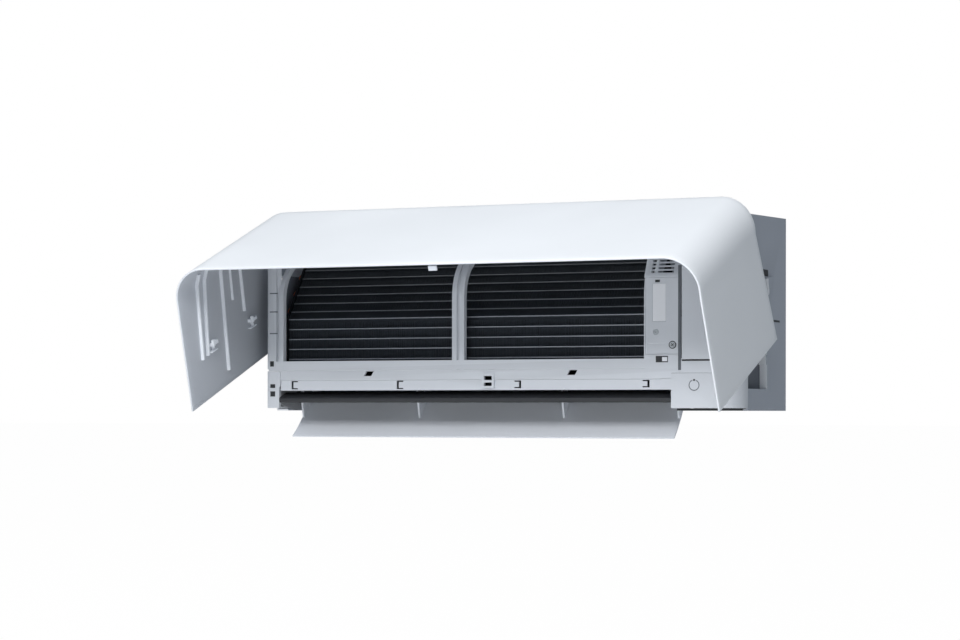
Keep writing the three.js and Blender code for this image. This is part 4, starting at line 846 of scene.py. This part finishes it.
def makeCheekTab():
    near = cheekTab["inset"]
    far = near + cheekTab["wall"]
    mesh = meshFrom("cheek_tab", lambda bm: prism(bm, cheekTab["outline"], near, far, cheekTabPoint))
    addPiece("cheek_tab", mesh, "panel_back_painted_shade", bodyOf["front_panel"])
    print("cheek tab made")


# small parts that show on the frame and its covers, and strips of painted shade in its groove and gap, placed
# across and up on the front plane
frontDetails = {
    "plane": 222, "proud": 0.12, "root": 0.5,
    "coverScrew": {"x": 272.7, "z": 92.5, "well": 5.6, "head": 4.4, "headProud": 0.35},
    "screwCross": {"turn": 35, "reach": 0.62, "half": 0.5, "proud": 0.4},
    "switchWindow": {"x": (248, 266), "z": (68, 77)},
    "switchKnob": {"x": (257.5, 265), "inset": 1.6, "proud": 0.6},
    "coverSlot": ((247, 254), (180.6, 184.2)),
    "grooveShade": ((281, 285.4), (57, 204)),
    "stripGap": ((286.7, 332), (69.6, 71.6)),
    "ring": {"x": 304.5, "z": 35.8, "inner": 6.7, "outer": 7.9, "gap": 26, "dot": 1.5, "dotInset": 0.6},
    "postSlots": (((-366.4, -360), (66, 74)), ((-366, -357.8), (33.7, 39.4)), ((-366, -357.8), (20.9, 28.7))),
    "postMarks": {"x": (-367, -354), "heights": (176, 148.2, 115.6), "half": 0.8},
}


def frontPoint(depth, x, height):
    return at(x, depth, height)


def frontPiece(name, finish, node, outlines, higher=0.0, soften=0.0):
    # closed plates from outlines across and up, a little proud of the front plane
    plane = frontDetails["plane"]
    top = plane + (frontDetails["proud"] + higher)

    def build(bm):
        for outline in outlines:
            prism(bm, outline, plane - frontDetails["root"], top, frontPoint)

    piece = addPiece(name, meshFrom(name, build), finish, bodyOf[node])
    if soften:
        softenEdges(piece, soften)


def makeCoverScrew():
    screw, cross = (frontDetails["coverScrew"], frontDetails["screwCross"])
    x, z = (screw["x"], screw["z"])
    frontPiece("cover_screw_well", "dark_plastic", "terminal_cover", [circle(x, z, screw["well"])])
    head = circle(x, z, screw["head"])
    frontPiece("cover_screw_head", "galvanised", "terminal_cover", [head], screw["headProud"], 0.2)
    reach, half = (screw["head"] * cross["reach"], cross["half"])
    corners = box((-reach, reach), (-half, half))
    bars = []
    for quarter in (0, 90):
        turn = math.radians(cross["turn"] + quarter)
        c, n = (math.cos(turn), math.sin(turn))
        bars.append([(x + u * c - v * n, z + u * n + v * c) for u, v in corners])
    frontPiece("cover_screw_cross", "black_plastic", "terminal_cover", bars, cross["proud"])


def makeSlideSwitch():
    window, knob = (frontDetails["switchWindow"], frontDetails["switchKnob"])
    low, high = window["z"]
    frontPiece("slide_switch_window", "black_plastic", "front_frame", [box(window["x"], (low, high))])
    outline = box(knob["x"], (low + knob["inset"], high - knob["inset"]))
    frontPiece("slide_switch_knob", "label_blank", "front_frame", [outline], knob["proud"], 0.3)


def makeSeams():
    frontPiece("cover_slot", "black_plastic", "terminal_cover", [box(*frontDetails["coverSlot"])])
    # painted shade: a grey strip for the shade in the groove beside the cover
    frontPiece("cover_groove_painted_shade", "groove_painted_shade", "front_frame", [box(*frontDetails["grooveShade"])])
    # painted shade: a black strip for the shade in a gap
    frontPiece("strip_gap", "black_plastic", "front_frame", [box(*frontDetails["stripGap"])])


def makeSwitchRing():
    ring = frontDetails["ring"]
    x, z = (ring["x"], ring["z"])
    start, sweep = (90 + ring["gap"], 360 - 2 * ring["gap"])
    outer = circle(x, z, ring["outer"], start, sweep)
    inner = circle(x, z, ring["inner"], start, sweep)
    frontPiece("switch_ring", "ring_grey", "right_corner_cover", [outer + list(reversed(inner))])
    dot = circle(x, z + ring["outer"] - ring["dotInset"], ring["dot"], steps=14)
    frontPiece("switch_dot", "black_plastic", "right_corner_cover", [dot])


def makePostDetails():
    slots = [box(*slot) for slot in frontDetails["postSlots"]]
    frontPiece("post_slots", "black_plastic", "front_frame", slots)
    marks = frontDetails["postMarks"]
    lines = [box(marks["x"], (z - marks["half"], z + marks["half"])) for z in marks["heights"]]
    frontPiece("post_marks", "ring_grey", "front_frame", lines)


def makeFrontDetails():
    makeCoverScrew()
    makeSlideSwitch()
    makeSeams()
    makeSwitchRing()
    makePostDetails()
    print("small front parts made")


# hooks, slots and the lip on the chassis; the hooks carry painted light, and the slots, the notch and the lip
# painted shade
sideParts = {
    "side": 372.5, "proud": 0.15, "root": 1,
    "hook": {"outline": ((103, 189), (84, 192), (88, 176), (96, 166)), "proud": 2.9, "root": 3, "edge": 0.8},
    "slot": ((34, 128.5), (72, 128.5), (72, 131.5), (34, 131.5)),
    "notch": ((92, 193), (119, 193), (119, 202), (92, 202)),
    "lip": {"x": (272, 368), "depth": (196, 200), "height": (0.3, 3.4)},
}


def makeSideParts():
    side, hook, lip = (sideParts["side"], sideParts["hook"], sideParts["lip"])
    body = bodyOf["rear_chassis"]

    def hooks(bm):
        for sign in (-1, 1):
            prism(bm, hook["outline"], sign * (side - hook["root"]), sign * (side + hook["proud"]), at)

    def darks(bm):
        for sign in (-1, 1):
            for outline in (sideParts["slot"], sideParts["notch"]):
                prism(bm, outline, sign * (side - sideParts["root"]), sign * (side + sideParts["proud"]), at)

    def bottomLip(bm):
        prism(bm, box(lip["depth"], lip["height"]), *lip["x"], at)

    # painted light: the hooks drawn in the lighter frame plastic, for the light on their faces
    softenEdges(addPiece("side_hooks", meshFrom("side_hooks", hooks), "frame_plastic", body), hook["edge"])
    # painted shade: dark plates for the shade in the slot and the notch
    addPiece("side_slots", meshFrom("side_slots", darks), "dark_plastic", body)
    # painted shade: the lip a dark strip for the shade under the front of the chassis
    addPiece("bottom_lip", meshFrom("bottom_lip", bottomLip), "dark_plastic", body)
    print("chassis side parts made")


def makeStage():
    bm = bmesh.new()
    size = studio["floorHalf"]
    for x, y in ((-size, -size), (size, -size), (size, size), (-size, size)):
        bm.verts.new((x, y, studio["floorHeight"]))
    bm.faces.new(bm.verts)
    mesh = bpy.data.meshes.new("studio_floor")
    bm.to_mesh(mesh)
    bm.free()
    floor = bpy.data.objects.new("studio_floor", mesh)
    bpy.context.scene.collection.objects.link(floor)
    paint = Paint("studio_floor", Roughness=0.9)
    dull, bright = [(tone, tone, tone) for tone in studio["floorTones"]]
    paint.wear(Base_Color=paint.mix(paint.span(paint.noise(2), 0.3, 0.7), dull, bright))
    glow = paint.node("ShaderNodeEmission", {}, {"Color": (1, 1, 1), "Strength": 1.0})
    seen = Signal(paint, paint.node("ShaderNodeLightPath").outputs["Is Camera Ray"])
    inputs = {0: seen * studio["floorGlow"], 1: paint.shader.outputs["BSDF"], 2: glow.outputs[0]}
    blend = paint.node("ShaderNodeMixShader", {}, inputs)
    paint.feed(paint.out.inputs["Surface"], blend.outputs[0])
    mesh.materials.append(paint.material)


# the CAD's own shapes that carry over, with how far their edges are rounded
moulded = {
    "front_frame": 0.5, "rear_chassis": 0.6, "outlet_housing": 0.4, "left_corner_cover": 0.6,
    "right_corner_cover": 0.6, "side_cover": 0.6, "terminal_cover": 0.5, "top_grille": 0.4, "wall_plate": 0.3,
    "main_vane": 0.6, "inner_vane": 0.8,
    "electrical_box": 0.5, "motor_cradle": 0.5, "pipe_clamp": 0.5, "switch_button": 0.4, "switch_guide": 0.4,
    "fan_motor": 0.6, "vane_motor": 0.4, "fan_bearing": 0.4, "terminal_block": 0.3, "control_board": 0.3,
    "blank_label": 0.1, "cover_screw": 0.2, "tube_sheet_left": 0.2, "tube_sheet_right": 0.2, "gas_pipe": 0.5,
    "liquid_pipe": 0.5, "gas_flare_nut": 0.4, "liquid_flare_nut": 0.4, "crossflow_fan": 0.2, "fan_pin": 0.3,
    "motor_shaft": 0.3, "guide_link_left": 0.2, "guide_link_right": 0.2,
}
moulded.update({f"guide_vane_{i}": 0.3 for i in range(1, 9)})
paintedShadeFinish = {"tube_sheet_left": "coil_shade"}  # painted shade: the left end plate drawn in the dark coil finish, so the left window shows dark
outletEnds = (-349.8, 269.3)


def makeMoulded():
    for node, width in moulded.items():
        copied = mouldedCopy(node, width, paintedShadeFinish.get(node))
        if node == "rear_chassis":
            paintRecessShadeAndLight(copied)
        if node == "outlet_housing":
            dressEnds(copied, *outletEnds, "outlet_grey")
    print("moulded pieces made")


setCamera()
setLights()
finishes = makeFinishes()
makeStage()
makePanel()
makeCheekRibs()
makePanelInside()
makeCheekTab()
makeCoil()
makeFrontDetails()
makeSideParts()
makeMoulded()
